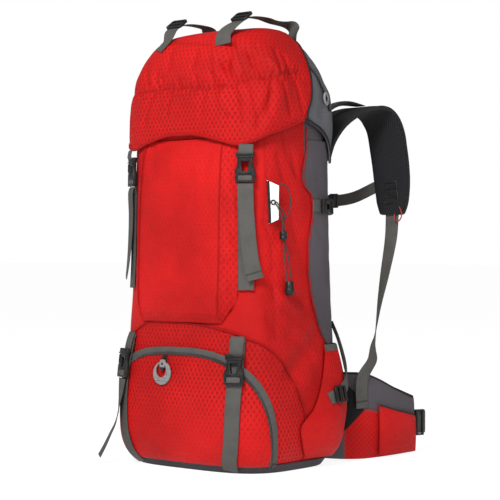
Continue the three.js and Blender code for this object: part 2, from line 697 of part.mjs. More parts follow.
// Lower side straps, over the side pocket, with a ladder lock
function sidePocketFrame(a, height) {
  const across = sidePocketPoint(a + 0.03, height, 0).sub(sidePocketPoint(a - 0.03, height, 0)).normalize();
  const rise = sidePocketPoint(a, height + 0.006, 0).sub(sidePocketPoint(a, height - 0.006, 0)).normalize();
  return { across, out: across.clone().cross(rise).normalize() };
}
function lowerSideStrap() {
  const onPocket = [[0.2, 0.156, 1.4], [0.33, 0.162, 1.6], [0.45, 0.172, 2], [0.6, 0.192, 4], [0.74, 0.225, 7]];
  const path = onPocket.map(([a, height, lift]) => sidePocketPoint(a, height, cloth + lift));
  const outs = onPocket.map(([a, height]) => sidePocketFrame(a, height).out);
  for (const [around, height, proud] of [[0.71, 0.285, 14], [0.715, 0.325, 4.6]]) {
    path.push(bag.point(around, height * packHeight, proud));
    outs.push(bag.frame(around, height * packHeight).out);
  }
  return webOver(path, outs, sideWebWidth, 12);
}
addPair("lower_side_strap", lowerSideStrap(), colour.webbing);
function sideLadder() {
  const { across, out } = sidePocketFrame(0.36, 0.164);
  const origin = sidePocketPoint(0.36, 0.164, cloth + 3.2);
  return placed(ladderLock(sideWebWidth), origin, out.clone().cross(across).negate(), across);
}
addPair("ladder_lock", sideLadder(), colour.black, 0.5);

// Back panel: two long foam cushions with an air channel between them
function backPad() {
  const place = (a, b, lift) => {
    const around = mix(0.8, 1.2, a);
    const cushion = Math.abs(Math.sin(2 * Math.PI * a)) ** 0.5;
    const round = Math.sin(Math.PI * clamp01(mix(0.04, 0.96, b))) ** 0.35;
    return bag.point(around, mix(0.215, 0.682, b) * packHeight, seat + lift * (3 + (backPadThick - 3) * cushion * round));
  };
  return sheet(12, 4, (a, b) => place(a, b, 1), (a, b) => place(a, b, 0));
}
add("back_pad", backPad(), colour.black);

// Shoulder pads: sewn to the back below the lid, up and over, then down in front of the wearer.
// Depth is a share of harnessReach behind the back panel.
const padPath = table(["x", "depth", "height", "width"], [
  [0.287, 0.029, 0.7, 0.98], [0.29, 0.11, 0.742, 1], [0.306, 0.31, 0.79, 1], [0.345, 0.6, 0.822, 1],
  [0.392, 0.82, 0.818, 1], [0.424, 0.93, 0.79, 1], [0.443, 0.98, 0.73, 1], [0.459, 1.0, 0.655, 0.96],
  [0.465, 0.995, 0.6, 0.82], [0.466, 0.985, 0.575, 0.62],
]);
function backDepth(z) {
  return bag.point(1, z).y;
}
function harnessPoint(row) {
  const z = row.height * packHeight;
  return V(row.x * bodyWidth, backDepth(0.7 * packHeight) + row.depth * harnessReach, z);
}
function shoulderPad() {
  const path = padPath.map(harnessPoint);
  const across = padPath.map((row) => V(1, row.depth > 0.7 ? 0.12 : 0, 0));
  const keyed = padPath.map((row, i) => ({ ...row, t: i / (padPath.length - 1) }));
  return band(path, across, 15, (t) => {
    const width = padWidth * along(keyed, "t", "width", t);
    return pillowSection(width, padThick, 8);
  });
}
addPair("shoulder_pad", shoulderPad(), colour.black);

// Load lifter: webbing from the top of the back to the crest of the pad
function loadLifter() {
  const path = [
    harnessPoint({ x: 0.33, depth: 0.0165, height: 0.802 }),
    harnessPoint({ x: 0.335, depth: 0.2, height: 0.823 }),
    harnessPoint({ x: 0.345, depth: 0.42, height: 0.837 }),
    harnessPoint({ x: 0.36, depth: 0.68, height: 0.8348 }),
  ];
  return band(path, [V(0.5, 0, 0.85), V(0.6, 0, 0.7), V(0.9, 0, 0.3), V(1, 0, 0)], 8, flatSection(22, webThick));
}
addPair("load_lifter", loadLifter(), colour.webbing);

// Sternum strap between the pads, with its clasp in the middle as one piece
function sternumStrap() {
  const end = harnessPoint({ x: 0.459, depth: 0.975, height: 0.642 });
  end.x -= padWidth / 2 - 1.1;
  const sag = 0.03 * packHeight;
  const half = [V(end.x, end.y, end.z), V(0.5 * end.x, end.y + 4, end.z - 0.8 * sag), V(0, end.y + 6, end.z - sag)];
  const other = half.slice(0, 2).reverse().map((p) => V(-p.x, p.y, p.z));
  const path = [...half, ...other];
  const strap = band(path, path.map(() => V(0, 0, 1)), 8, flatSection(sideWebWidth, webThick));
  const clasp = placed(sideBuckle(sideWebWidth), V(0, end.y + 9, end.z - sag), V(0, 0, 1), V(-1, 0, 0));
  return fromManifold(toManifold(strap).add(toManifold(clasp)));
}
add("sternum_strap", sternumStrap(), colour.webbing);

// Hip wings: padded wings that leave the lower back and sweep rearwards. Depth is a share of
// wingReach behind the back, top is the upper edge as a share of wingHeight.
const wingPath = table(["x", "depth", "top"], [
  [0.08, 0.0, 0.9], [0.24, 0.0, 0.96], [0.37, 0.025, 1], [0.455, 0.09, 1], [0.505, 0.2, 0.99],
  [0.527, 0.37, 0.93], [0.54, 0.64, 0.8], [0.543, 1, 0.66],
]);
const wingFloor = 2;
const wingBack = bag.point(1, 0.1 * packHeight).y + seat + wingThick / 2;
const wingCurve = new THREE.CatmullRomCurve3(
  wingPath.map((row) => V(row.x * bodyWidth, wingBack + row.depth * wingReach, 0)), false, "centripetal");
const wingTops = wingPath.map((row, i) => ({ t: i / (wingPath.length - 1), top: row.top }));
function wingPoint(a, h, out) {
  const tangent = wingCurve.getTangent(a);
  const side = tangent.clone().cross(V(0, 0, 1)).normalize();
  const top = along(wingTops, "t", "top", a) * wingHeight;
  const p = wingCurve.getPoint(a).addScaledVector(side, out);
  return V(p.x, p.y, mix(wingFloor, top, h));
}
function hipWing() {
  const thick = (a, h) => (wingThick / 2) * (1 - 0.45 * Math.abs(2 * h - 1) ** 5) * mix(1, 0.6, Math.max(0, a - 0.85) / 0.15);
  return sheet(12, 4, (a, h) => wingPoint(a, h, thick(a, h)), (a, h) => wingPoint(a, h, -thick(a, h)));
}
addPair("hip_wing", hipWing(), colour.grey);

// Hip pocket: a zipped pocket on the outside of each wing
function hipPocket() {
  const place = (a, h, lift) => {
    const swell = hipPocketBulge * (Math.sin(Math.PI * mix(0.06, 0.94, a)) * Math.sin(Math.PI * mix(0.1, 0.92, h))) ** 0.6;
    return wingPoint(mix(0.72, 0.985, a), mix(0.02, 0.66, h), wingThick / 2 + seat + lift * (cloth + swell));
  };
  return sheet(6, 5, (a, h) => place(a, h, 1), (a, h) => place(a, h, 0));
}
addPair("hip_pocket", hipPocket(), colour.red);

// Hip belt ends: wide webbing that leaves the wing's tip in a loop, and its adjuster
const tip = wingCurve.getPoint(1);
const tipHeight = 0.36 * wingHeight;
function hipStrap() {
  const offsets = [[0, 0.9], [5, 14], [6, 27], [-2, 36], [-12, 31], [-15, 17]];
  const path = offsets.map(([x, y]) => V(tip.x + x, tip.y + y, tipHeight));
  return band(path, path.map(() => V(0, 0, 1)), 11, flatSection(hipWebWidth, webThick));
}
addPair("hip_strap", hipStrap(), colour.webbing);
function hipBuckle() {
  const frame = block(-hipWebWidth / 2 - 3, -8, hipWebWidth / 2 + 3, 8);
  const slot = block(-hipWebWidth / 2, -4.5, hipWebWidth / 2, 4.5).reverse();
  const origin = V(tip.x + 5.4, tip.y + 10, tipHeight);
  return placed(plate(frame, [slot], ladderThick), origin, V(0, 0, 1), V(0.35, 0.94, 0).negate());
}
addPair("hip_buckle", hipBuckle(), colour.black, 0.5);

// Shoulder webbing: from the pad's foot down over the top of the hip wing
function shoulderWebbing() {
  const foot = harnessPoint(padPath[padPath.length - 1]);
  foot.z -= 0.7;
  const end = wingPoint(0.56, 0.6, wingThick / 2 + 2.6);
  const over = wingPoint(0.56, 0.95, wingThick / 2 + 4.2);
  const at = (x, k, height) => V(x * bodyWidth, mix(foot.y, over.y, k), height * packHeight);
  const path = [foot, at(0.468, 0.04, 0.52), at(0.475, 0.22, 0.435), at(0.482, 0.38, 0.365), at(0.51, 0.62, 0.275),
    at(0.553, 0.84, 0.232), over, end];
  const across = [[1, 0.1], [1, 0], [0.95, -0.3], [0.79, -0.61], [0.47, -0.88], [0.05, -1], [-0.23, -0.97],
    [-0.23, -0.97]];
  return band(path, across.map(([x, y]) => V(x, y, 0)), 50, flatSection(webWidth, webThick));
}
addPair("shoulder_webbing", shoulderWebbing(), colour.webbing);

// Pole holders: a stiff white tab with an elastic loop and a doubled tail
const tabCorners = { left: [0.332, 0.642, 0.34, 0.546], right: [0.365, 0.63, 0.363, 0.556] };
const tabThick = 1.4;
const tabProud = seat - 0.6;
const tabFlare = 9;
function poleTab() {
  const place = (a, b, lift) => {
    const [lu, lt, lb, ll] = tabCorners.left;
    const [ru, rt, rb, rl] = tabCorners.right;
    const around = mix(mix(lb, rb, a), mix(lu, ru, a), b);
    const height = mix(mix(ll, rl, a), mix(lt, rt, a), b);
    return bag.point(around, height * packHeight, tabProud + tabFlare * a + lift);
  };
  return sheet(1, 3, (a, b) => place(a, b, tabThick), (a, b) => place(a, b, 0));
}
addPair("pole_tab", poleTab(), colour.white, 0.6);

// Cords: points chosen by hand, each a share of the half perimeter and of packHeight, with how
// far it stands proud
const cordStep = 3 * cordDiameter;
const loopPoints = [
  [0.3666, 0.631, 10.3], [0.374, 0.634, 12.3], [0.384, 0.631, 13.3], [0.394, 0.624, 13.8], [0.402, 0.615, 13.8],
  [0.407, 0.604, 13.3], [0.409, 0.593, 12.8], [0.407, 0.583, 12.3], [0.402, 0.573, 12], [0.394, 0.564, 11.7],
  [0.384, 0.558, 11.2], [0.375, 0.555, 10.8], [0.3647, 0.5555, 10.1],
];
const tailPoints = [
  [0.3535, 0.5915, 8.3], [0.356, 0.586, 12], [0.361, 0.576, 14.6], [0.368, 0.562, 15.2], [0.374, 0.549, 13.8],
  [0.379, 0.536, 10.6], [0.3818, 0.526, 8.4], [0.3838, 0.516, 8], [0.3855, 0.506, 8], [0.387, 0.495, 8], [0.389, 0.48, 8], [0.3905, 0.462, 8],
  [0.392, 0.445, 8.8], [0.394, 0.43, 9.6], [0.3957, 0.42, 10], [0.396, 0.409, 10], [0.3995, 0.4035, 10],
  [0.4045, 0.4015, 10], [0.4095, 0.4035, 10], [0.413, 0.409, 10], [0.4132, 0.42, 10], [0.4128, 0.43, 9.6],
  [0.4115, 0.445, 8.8], [0.4085, 0.462, 8],
  [0.4035, 0.48, 8], [0.3965, 0.495, 8], [0.3915, 0.506, 8], [0.389, 0.516, 8], [0.3875, 0.526, 8.4],
  [0.3865, 0.536, 10.6], [0.383, 0.549, 14.6], [0.3765, 0.562, 17.4], [0.367, 0.576, 18], [0.3585, 0.586, 16],
  [0.3545, 0.5945, 11.8],
];
function cordTube(points) {
  const path = points.map(([around, height, proud]) => bag.point(around, height * packHeight, proud));
  const curve = new THREE.CatmullRomCurve3(path, false, "centripetal");
  const sides = 8;
  const round = new THREE.Shape(Array.from({ length: sides }, (_, i) => {
    const angle = (2 * Math.PI * i) / sides;
    return new THREE.Vector2((cordDiameter / 2) * Math.cos(angle), (cordDiameter / 2) * Math.sin(angle));
  }));
  const steps = Math.round(curve.getLength() / cordStep);
  return new THREE.ExtrudeGeometry(round, { steps, extrudePath: curve, bevelEnabled: false });
}
addPair("pole_loop", cordTube(loopPoints), colour.black);
addPair("pole_cord", cordTube(tailPoints), colour.black);

function onCord(geometry, around, height, proud) {
  const z = height * packHeight;
  const { across, up } = bag.frame(around, z);
  return placed(geometry, bag.point(around, z, proud), across, up);
}
function cordLock() {
  const half = cordLockLength / 2;
  const bore = cordLockRadius - 1.6;
  const profile = [[bore, -half], [cordLockRadius, -half], [cordLockRadius, half], [bore, half], [bore, -half]];
  return new THREE.LatheGeometry(profile.map(([r, y]) => new THREE.Vector2(r, y)), 10);
}
addPair("cord_lock", onCord(cordLock(), 0.3855, 0.521, 8), colour.black, 0.5);
function cordEnd() {
  const wall = 1.2;
  const bore = cordEndRadius - wall;
  const profile = [[0, -cordEndLength], [cordEndRadius - 1.5, -cordEndLength], [cordEndRadius, -cordEndLength + 3],
    [cordEndRadius, 0], [bore, 0], [bore, -cordEndLength + 4], [0, -cordEndLength + 3]];
  return new THREE.LatheGeometry(profile.map(([r, y]) => new THREE.Vector2(r, y)), 10);
}
addPair("cord_end", onCord(cordEnd(), 0.4045, 0.42, 10), colour.black, 0.5);

export default pack;
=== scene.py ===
import math

import bpy
import numpy as np
from mathutils import Matrix, Vector


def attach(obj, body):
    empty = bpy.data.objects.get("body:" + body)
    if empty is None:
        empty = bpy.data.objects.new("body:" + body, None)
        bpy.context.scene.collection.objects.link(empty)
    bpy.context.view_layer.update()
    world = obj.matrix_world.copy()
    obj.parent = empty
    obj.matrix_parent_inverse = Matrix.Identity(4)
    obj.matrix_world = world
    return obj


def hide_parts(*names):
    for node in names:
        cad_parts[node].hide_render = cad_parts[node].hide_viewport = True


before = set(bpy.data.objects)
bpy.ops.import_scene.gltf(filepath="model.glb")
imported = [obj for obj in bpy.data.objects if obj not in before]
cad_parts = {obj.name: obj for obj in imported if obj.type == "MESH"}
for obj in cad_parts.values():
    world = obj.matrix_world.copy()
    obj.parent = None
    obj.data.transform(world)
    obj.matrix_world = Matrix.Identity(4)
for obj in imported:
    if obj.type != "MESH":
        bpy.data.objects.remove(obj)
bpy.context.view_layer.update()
bpy.ops.object.select_all(action="DESELECT")


# ---------------------------------------------------------------- camera
# A long lens at the middle of the pack's height, a little to the right of its
# front, as in the photograph.
lens = bpy.data.cameras.new("camera")
lens.lens, lens.sensor_width, lens.clip_end = 114.2, 36.0, 60.0
camera = bpy.data.objects.new("camera", lens)
camera.location = (1.6858, -1.9621, 0.3447)
camera.rotation_euler = (math.radians(90), 0, math.radians(40))
bpy.context.collection.objects.link(camera)
bpy.context.scene.camera = camera


# ---------------------------------------------------------------- pole holder cords
# Two thin black elastic cords on each side: a loop sewn into the white tab, and a doubled
# tail that runs from the tab's eyelet through a round lock into a moulded end.
class Wire:
    """One value inside a material. Sums of wires add the nodes that work them out."""

    def __init__(self, paint, socket):
        self.paint, self.socket = paint, socket

    def do(self, operation, *others):
        values = {0: self, **{i + 1: other for i, other in enumerate(others)}}
        return self.paint.node("ShaderNodeMath", {"operation": operation}, values)

    def __add__(self, other): return self.do("ADD", other)
    def __sub__(self, other): return self.do("SUBTRACT", other)
    def __mul__(self, other): return self.do("MULTIPLY", other)
    def __truediv__(self, other): return self.do("DIVIDE", other)
    def __rsub__(self, other): return (self * -1.0) + other
    __radd__, __rmul__ = __add__, __mul__

    def sin(self): return self.do("SINE")
    def cos(self): return self.do("COSINE")
    def size(self): return self.do("ABSOLUTE")
    def higher(self, other): return self.do("MAXIMUM", other)

    def step(self, low, high):
        return self.paint.node("ShaderNodeMapRange", {"interpolation_type": "SMOOTHSTEP"},
                               {"Value": self, "From Min": low, "From Max": high})


class Paint:
    """A material under its shader, with one method for every node in it."""

    def __init__(self, name, **fixed):
        self.material = bpy.data.materials.new(name)
        self.material.use_nodes = True
        self.tree = self.material.node_tree
        self.shader = self.tree.nodes["Principled BSDF"]
        for words, value in fixed.items():
            self.shader.inputs[words.replace("_", " ")].default_value = value

    def node(self, kind, settings=None, inputs=None, output=0):
        made = self.tree.nodes.new(kind)
        for setting, value in (settings or {}).items():
            if setting == "stops":
                ramp = made.color_ramp.elements
                while len(ramp) < len(value):
                    ramp.new(0.5)
                for element, (place, tint) in zip(ramp, value):
                    element.position, element.color = place, (*tint, 1)
            else:
                setattr(made, setting, value)
        for socket, value in (inputs or {}).items():
            self.join(made.inputs[socket], value)
        return Wire(self, made.outputs[output])

    def join(self, socket, value):
        if isinstance(value, Wire):
            self.tree.links.new(value.socket, socket)
        elif isinstance(value, tuple) and len(value) == 3 and socket.type == "RGBA":
            socket.default_value = (*value, 1)
        else:
            socket.default_value = value

    def feed(self, socket, value):
        self.join(self.shader.inputs[socket], value)

    def place(self):
        return self.node("ShaderNodeTexCoord", output="Object")

    def flat(self):
        uv = self.node("ShaderNodeUVMap", {"uv_map": "cloth"})
        return [self.node("ShaderNodeSeparateXYZ", None, {0: uv}, axis) for axis in (0, 1)]

    def mark(self, name):
        return self.node("ShaderNodeAttribute", {"attribute_name": name}, output="Fac")

    def noise(self, scale, detail=3.0, where=None):
        return self.node("ShaderNodeTexNoise", None,
                         {"Vector": where or self.place(), "Scale": scale, "Detail": detail})

    def blend(self, share, first, second, mode="MIX"):
        return self.node("ShaderNodeMix", {"data_type": "RGBA", "blend_type": mode},
                         {"Factor": share, 6: first, 7: second}, 2)

    def relief(self, height, depth, strength=1.0):
        bump = self.node("ShaderNodeBump", None, {"Height": height, "Distance": depth, "Strength": strength})
        self.feed("Normal", bump)


def finish(piece, paint, slot, *nodes):
    """Gives a piece its material and its place in the frame."""
    piece.data.materials.clear()
    piece.data.materials.append(paint.material)
    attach(piece, "root")
    if nodes:
        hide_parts(*nodes)
    return piece


def flip(points, side):
    return np.array(points, float) * ((1, 1, 1) if side == "r" else (-1, 1, 1))


elastic = Paint("braided elastic", Roughness=0.75)
braid_u, braid_v = elastic.flat()
braid = ((braid_v * 2200.0) + (braid_u * 6.28)).sin() * ((braid_v * 2200.0) - (braid_u * 6.28)).sin()
elastic.feed("Base Color", elastic.blend(braid.step(-0.6, 0.8), (0.012, 0.012, 0.013), (0.045, 0.044, 0.046)))
elastic.relief(braid, 0.0002)

cord_thickness = 0.002
loop_route = [
    (0.1543, -0.0671, 0.4444), (0.1572, -0.0637, 0.4465), (0.1589, -0.0595, 0.4447), (0.1598, -0.0558, 0.4414),
    (0.1604, -0.0528, 0.4375), (0.1606, -0.0503, 0.4332), (0.1607, -0.0486, 0.4284), (0.1608, -0.0475, 0.4236),
    (0.1608, -0.0470, 0.4186), (0.1607, -0.0473, 0.4136), (0.1604, -0.0485, 0.4088), (0.1600, -0.0502, 0.4041),
    (0.1596, -0.0526, 0.3997), (0.1590, -0.0557, 0.3959), (0.1579, -0.0595, 0.3928), (0.1565, -0.0638, 0.3909),
    (0.1545, -0.0684, 0.3913)]
tail_route = [
    (0.1508, -0.0731, 0.4166), (0.1559, -0.0729, 0.4111), (0.1586, -0.0711, 0.4043), (0.1599, -0.0686, 0.3972),
    (0.1598, -0.0660, 0.3901), (0.1585, -0.0634, 0.3831), (0.1565, -0.0612, 0.3762), (0.1550, -0.0595, 0.3690),
    (0.1551, -0.0585, 0.3615), (0.1555, -0.0578, 0.3540), (0.1557, -0.0571, 0.3464), (0.1560, -0.0565, 0.3389),
    (0.1562, -0.0561, 0.3313), (0.1566, -0.0558, 0.3238), (0.1574, -0.0555, 0.3162), (0.1582, -0.0551, 0.3087),
    (0.1592, -0.0546, 0.3012), (0.1601, -0.0542, 0.2937), (0.1609, -0.0537, 0.2863), (0.1617, -0.0510, 0.2828),
    (0.1621, -0.0481, 0.2841), (0.1615, -0.0456, 0.2911), (0.1608, -0.0456, 0.2986), (0.1599, -0.0457, 0.3061),
    (0.1590, -0.0460, 0.3136), (0.1582, -0.0467, 0.3211), (0.1576, -0.0477, 0.3286), (0.1573, -0.0490, 0.3360),
    (0.1569, -0.0510, 0.3433), (0.1564, -0.0534, 0.3505), (0.1559, -0.0554, 0.3578), (0.1556, -0.0565, 0.3653),
    (0.1562, -0.0573, 0.3727), (0.1586, -0.0584, 0.3798), (0.1612, -0.0603, 0.3867), (0.1629, -0.0631, 0.3935),
    (0.1632, -0.0664, 0.4003), (0.1621, -0.0699, 0.4069), (0.1589, -0.0732, 0.4129), (0.1542, -0.0738, 0.4187)]


def curve_through(points, shares):
    """Points at those shares of a centripetal curve through the given points."""
    points = np.array(points, float)
    count = len(points)
    ends = np.vstack([2 * points[0] - points[1], points, 2 * points[-1] - points[-2]])
    found = []
    for share in shares:
        place = min(share * (count - 1), count - 1 - 1e-9)
        i = int(place)
        k = place - i
        a, b, c, d = ends[i:i + 4]
        first, middle, last = [max(1e-9, float(v @ v)) ** 0.25 for v in (b - a, c - b, d - c)]
        leave = ((b - a) / first - (c - a) / (first + middle) + (c - b) / middle) * middle
        arrive = ((c - b) / middle - (d - b) / (middle + last) + (d - c) / last) * middle
        found.append(b + k * leave + k * k * (-3 * b + 3 * c - 2 * leave - arrive)
                     + k ** 3 * (2 * b - 2 * c + leave + arrive))
    return np.array(found)


def length_of(points):
    return float(np.linalg.norm(np.diff(points, axis=0), axis=1).sum())


def grid(name, points, uv=None, around=False, ends=(), marks=None):
    """A mesh of rows of points. around joins each row to itself; ends closes the first or last row."""
    rows, columns = points.shape[:2]
    vertices = list(map(tuple, points.reshape(-1, 3)))
    wide = columns if around else columns - 1
    faces, corners = [], []
    for j in range(rows - 1):
        for i in range(wide):
            n = (i + 1) % columns
            faces.append((j * columns + i, j * columns + n, (j + 1) * columns + n, (j + 1) * columns + i))
            corners += [(j, i), (j, i + 1), (j + 1, i + 1), (j + 1, i)]
    for end in ends:
        j = 0 if end == "first" else rows - 1
        vertices.append(tuple(points[j].mean(axis=0)))
        middle = len(vertices) - 1
        for i in range(wide):
            n = (i + 1) % columns
            pair = (n, i) if end == "first" else (i, n)
            faces.append((j * columns + pair[0], j * columns + pair[1], middle))
            corners += [(j, i), (j, i), (j, i)]
    mesh = bpy.data.meshes.new(name)
    mesh.from_pydata(vertices, [], faces)
    if uv is not None:
        layer = mesh.uv_layers.new(name="cloth")
        where = np.array(corners)
        layer.data.foreach_set("uv", uv[where[:, 0], where[:, 1]].astype(np.float32).ravel())
    for mark, values in (marks or {}).items():
        layer = mesh.attributes.new(mark, "FLOAT", "POINT")
        flat = np.zeros(len(vertices), np.float32)
        flat[:rows * columns] = values.ravel()
        layer.data.foreach_set("value", flat)
    piece = bpy.data.objects.new(name, mesh)
    bpy.context.collection.objects.link(piece)
    mesh.shade_smooth()
    return piece


def tube(name, path, radius, sides=12):
    """A round tube along a path, closed at both ends."""
    path = np.array(path, float)
    forward = np.gradient(path, axis=0)
    forward /= np.linalg.norm(forward, axis=1)[:, None]
    side = np.cross(forward[0], (0.3, 0.2, 0.93))
    rings, run = [], 0.0
    for i, (point, ahead) in enumerate(zip(path, forward)):
        side = side - ahead * (side @ ahead)
        side /= np.linalg.norm(side)
        up = np.cross(ahead, side)
        turn = np.arange(sides) * 2 * math.pi / sides
        rings.append(point + radius * (np.cos(turn)[:, None] * side + np.sin(turn)[:, None] * up))
    run = np.concatenate([[0], np.cumsum(np.linalg.norm(np.diff(path, axis=0), axis=1))])
    uv = np.stack(np.broadcast_arrays(np.arange(sides + 1)[None, :] / sides, run[:, None]), axis=-1)
    return grid(name, np.array(rings), uv, around=True, ends=("first", "last"))


for side in ("r", "l"):
    loop = tube("pole_loop_elastic_" + side, curve_through(flip(loop_route, side), np.linspace(0, 1, 70)), cord_thickness / 2)
    finish(loop, elastic, "cord", "pole_loop_" + side)
    doubled = tube("pole_cord_elastic_" + side, curve_through(flip(tail_route, side), np.linspace(0, 1, 170)), cord_thickness / 2)
    finish(doubled, elastic, "cord", "pole_cord_" + side)


# ---------------------------------------------------------------- main bag
# A tall bag of coated red nylon, sewn to a grey back. Its skin is a row of rounded square
# sections; the folds and darts that hang in it are the same as the solid's.
height, width, depth = 0.704, 0.296, 0.216
seat = 0.0008
bag_sections = [
    (0, .473, .51, .45, 3.6), (.036, .524, .588, .495, 3.8), (.1, .547, .62, .518, 3.8), (.185, .544, .61, .514, 3.8),
    (.284, .527, .577, .505, 3.8), (.426, .513, .542, .49, 3.8), (.568, .506, .532, .481, 3.8),
    (.71, .5, .525, .477, 3.8), (.78, .494, .516, .468, 3.7), (.82, .465, .475, .43, 3.4)]
bag_folds = [
    (.335, .53, .358, .3, 1, -.9), (.405, .38, .47, .345, 1.3, .6), (.4, .255, .53, .325, 1.3, .8),
    (.43, .225, .55, .285, 1.2, -.7), (.44, .19, .52, .205, 1, .6), (.47, .54, .5, .44, 1.4, -.5),
    (.45, .66, .48, .6, 1.2, .5), (.43, .62, .4, .7, 1, -.5), (.36, .15, .4, .05, 1, .4)]


def read(rows, at, column, key=0):
    """A smooth curve through one column of a table."""
    table = np.array(rows, float)
    keys, values = table[:, key], table[:, column]
    slopes = np.empty(len(keys))
    slopes[1:-1] = (values[2:] - values[:-2]) / (keys[2:] - keys[:-2])
    slopes[0], slopes[-1] = [(values[a + 1] - values[a]) / (keys[a + 1] - keys[a]) for a in (0, -2)]
    at = np.clip(at, keys[0], keys[-1])
    i = np.clip(np.searchsorted(keys, at, side="left") - 1, 0, len(keys) - 2)
    span = keys[i + 1] - keys[i]
    t = (at - keys[i]) / span
    stay = (1 + 2 * t) * (1 - t) ** 2
    return (stay * values[i] + (1 - stay) * values[i + 1]
            + t * (1 - t) ** 2 * span * slopes[i] + t * t * (t - 1) * span * slopes[i + 1])


class Skin:
    """A surface over sections: around is 0 at the front, 1 at the back, minus on the left."""

    def __init__(self, sections, folds, two_sided):
        self.folds, self.two_sided = folds, two_sided
        self.low, self.high = sections[0][0] * height, sections[-1][0] * height
        self.levels, steps = 700, 200
        z = np.linspace(self.low, self.high, self.levels)
        half, front, back, square = [read(sections, z / height, c) for c in (1, 2, 3, 4)]
        angle = np.linspace(0, math.pi, 361)
        c, s = np.cos(angle), np.clip(np.sin(angle), 0, 1)
        power = (2 / square)[:, None]
        x = (half * width)[:, None] * s[None, :] ** power
        y = np.where(c[None, :] > 0, -(front * depth)[:, None] * np.abs(c)[None, :] ** power,
                     (back * depth)[:, None] * np.abs(c)[None, :] ** power)
        run = np.concatenate([np.zeros((self.levels, 1)), np.cumsum(np.hypot(np.diff(x), np.diff(y)), axis=1)], axis=1)
        self.reach = run[:, -1]
        share = np.linspace(0, 1, steps + 1)
        self.steps = steps
        self.x = np.array([np.interp(share * r[-1], r, row) for r, row in zip(run, x)])
        self.y = np.array([np.interp(share * r[-1], r, row) for r, row in zip(run, y)])

    def look(self, table, share, z):
        row = np.clip((z - self.low) / (self.high - self.low), 0, 1) * (self.levels - 1)
        j = np.minimum(row.astype(int), self.levels - 2)
        b = row - j
        if table.ndim == 1:
            return table[j] * (1 - b) + table[j + 1] * b
        column = share * self.steps
        i = np.minimum(column.astype(int), self.steps - 1)
        a = column - i
        near = table[j, i] * (1 - a) + table[j, i + 1] * a
        far = table[j + 1, i] * (1 - a) + table[j + 1, i + 1] * a
        return near * (1 - b) + far * b

    def bare(self, around, z):
        turned = np.where(around > 1, around - 2, np.where(around < -1, around + 2, around))
        share = np.abs(turned)
        return np.stack([np.sign(turned) * self.look(self.x, share, z), self.look(self.y, share, z), z + 0 * share], axis=-1)

    def size(self, z):
        return self.look(self.reach, None, np.asarray(z, float))

    def frame(self, around, z):
        around, z = np.broadcast_arrays(np.asarray(around, float), np.asarray(z, float))
        across = self.bare(around + 0.006, z) - self.bare(around - 0.006, z)
        across /= np.linalg.norm(across, axis=-1, keepdims=True)
        rise = self.bare(around, z + 0.002) - self.bare(around, z - 0.002)
        out = np.cross(across, rise)
        out /= np.linalg.norm(out, axis=-1, keepdims=True)
        return across, np.cross(out, across), out

    def fold(self, folds, around, z, two_sided):
        turned = np.abs(around) if two_sided else around
        reach = self.size(z)
        total = np.zeros(np.broadcast(around, z).shape)
        for u0, h0, u1, h1, wide, deep in folds:
            ax, az = u0 * reach, h0 * height
            bx, bz = u1 * reach - ax, h1 * height - az
            px, pz = turned * reach - ax, z - az
            k = np.clip((px * bx + pz * bz) / (bx * bx + bz * bz), 0, 1)
            total = total + deep * 0.004 * np.exp(-((px - k * bx) ** 2 + (pz - k * bz) ** 2) / (wide * 0.014) ** 2)
        return total

    def point(self, around, z, proud=0.0):
        around, z, proud = np.broadcast_arrays(*[np.asarray(v, float) for v in (around, z, proud)])
        lift = proud + self.fold(self.folds, around, z, self.two_sided)
        return self.bare(around, z) + self.frame(around, z)[2] * lift[..., None]


def ripple(x, y, seed):
    """Soft irregular waves between -1 and 1, the same each time."""
    total = 0
    for i in range(5):
        turn = seed * 1.7 + i * 2.399
        total = total + np.sin(x * math.cos(turn) * (1 + 0.37 * i) + y * math.sin(turn) * (1 + 0.37 * i) + seed * (i + 1))
    return total / 5


def select(piece):
    bpy.ops.object.select_all(action="DESELECT")
    piece.select_set(True)
    bpy.context.view_layer.objects.active = piece


def modify(piece, kind, **settings):
    select(piece)
    modifier = piece.modifiers.new(kind.lower(), kind)
    for setting, value in settings.items():
        setattr(modifier, setting, value)
    bpy.ops.object.modifier_apply(modifier=modifier.name)


def thicken(piece, thick):
    """Cloth of that thickness, its outer face where it was."""
    modify(piece, "SOLIDIFY", thickness=thick, offset=-1.0, use_even_offset=False)
    select(piece)
    bpy.ops.object.shade_smooth_by_angle(angle=math.radians(50))


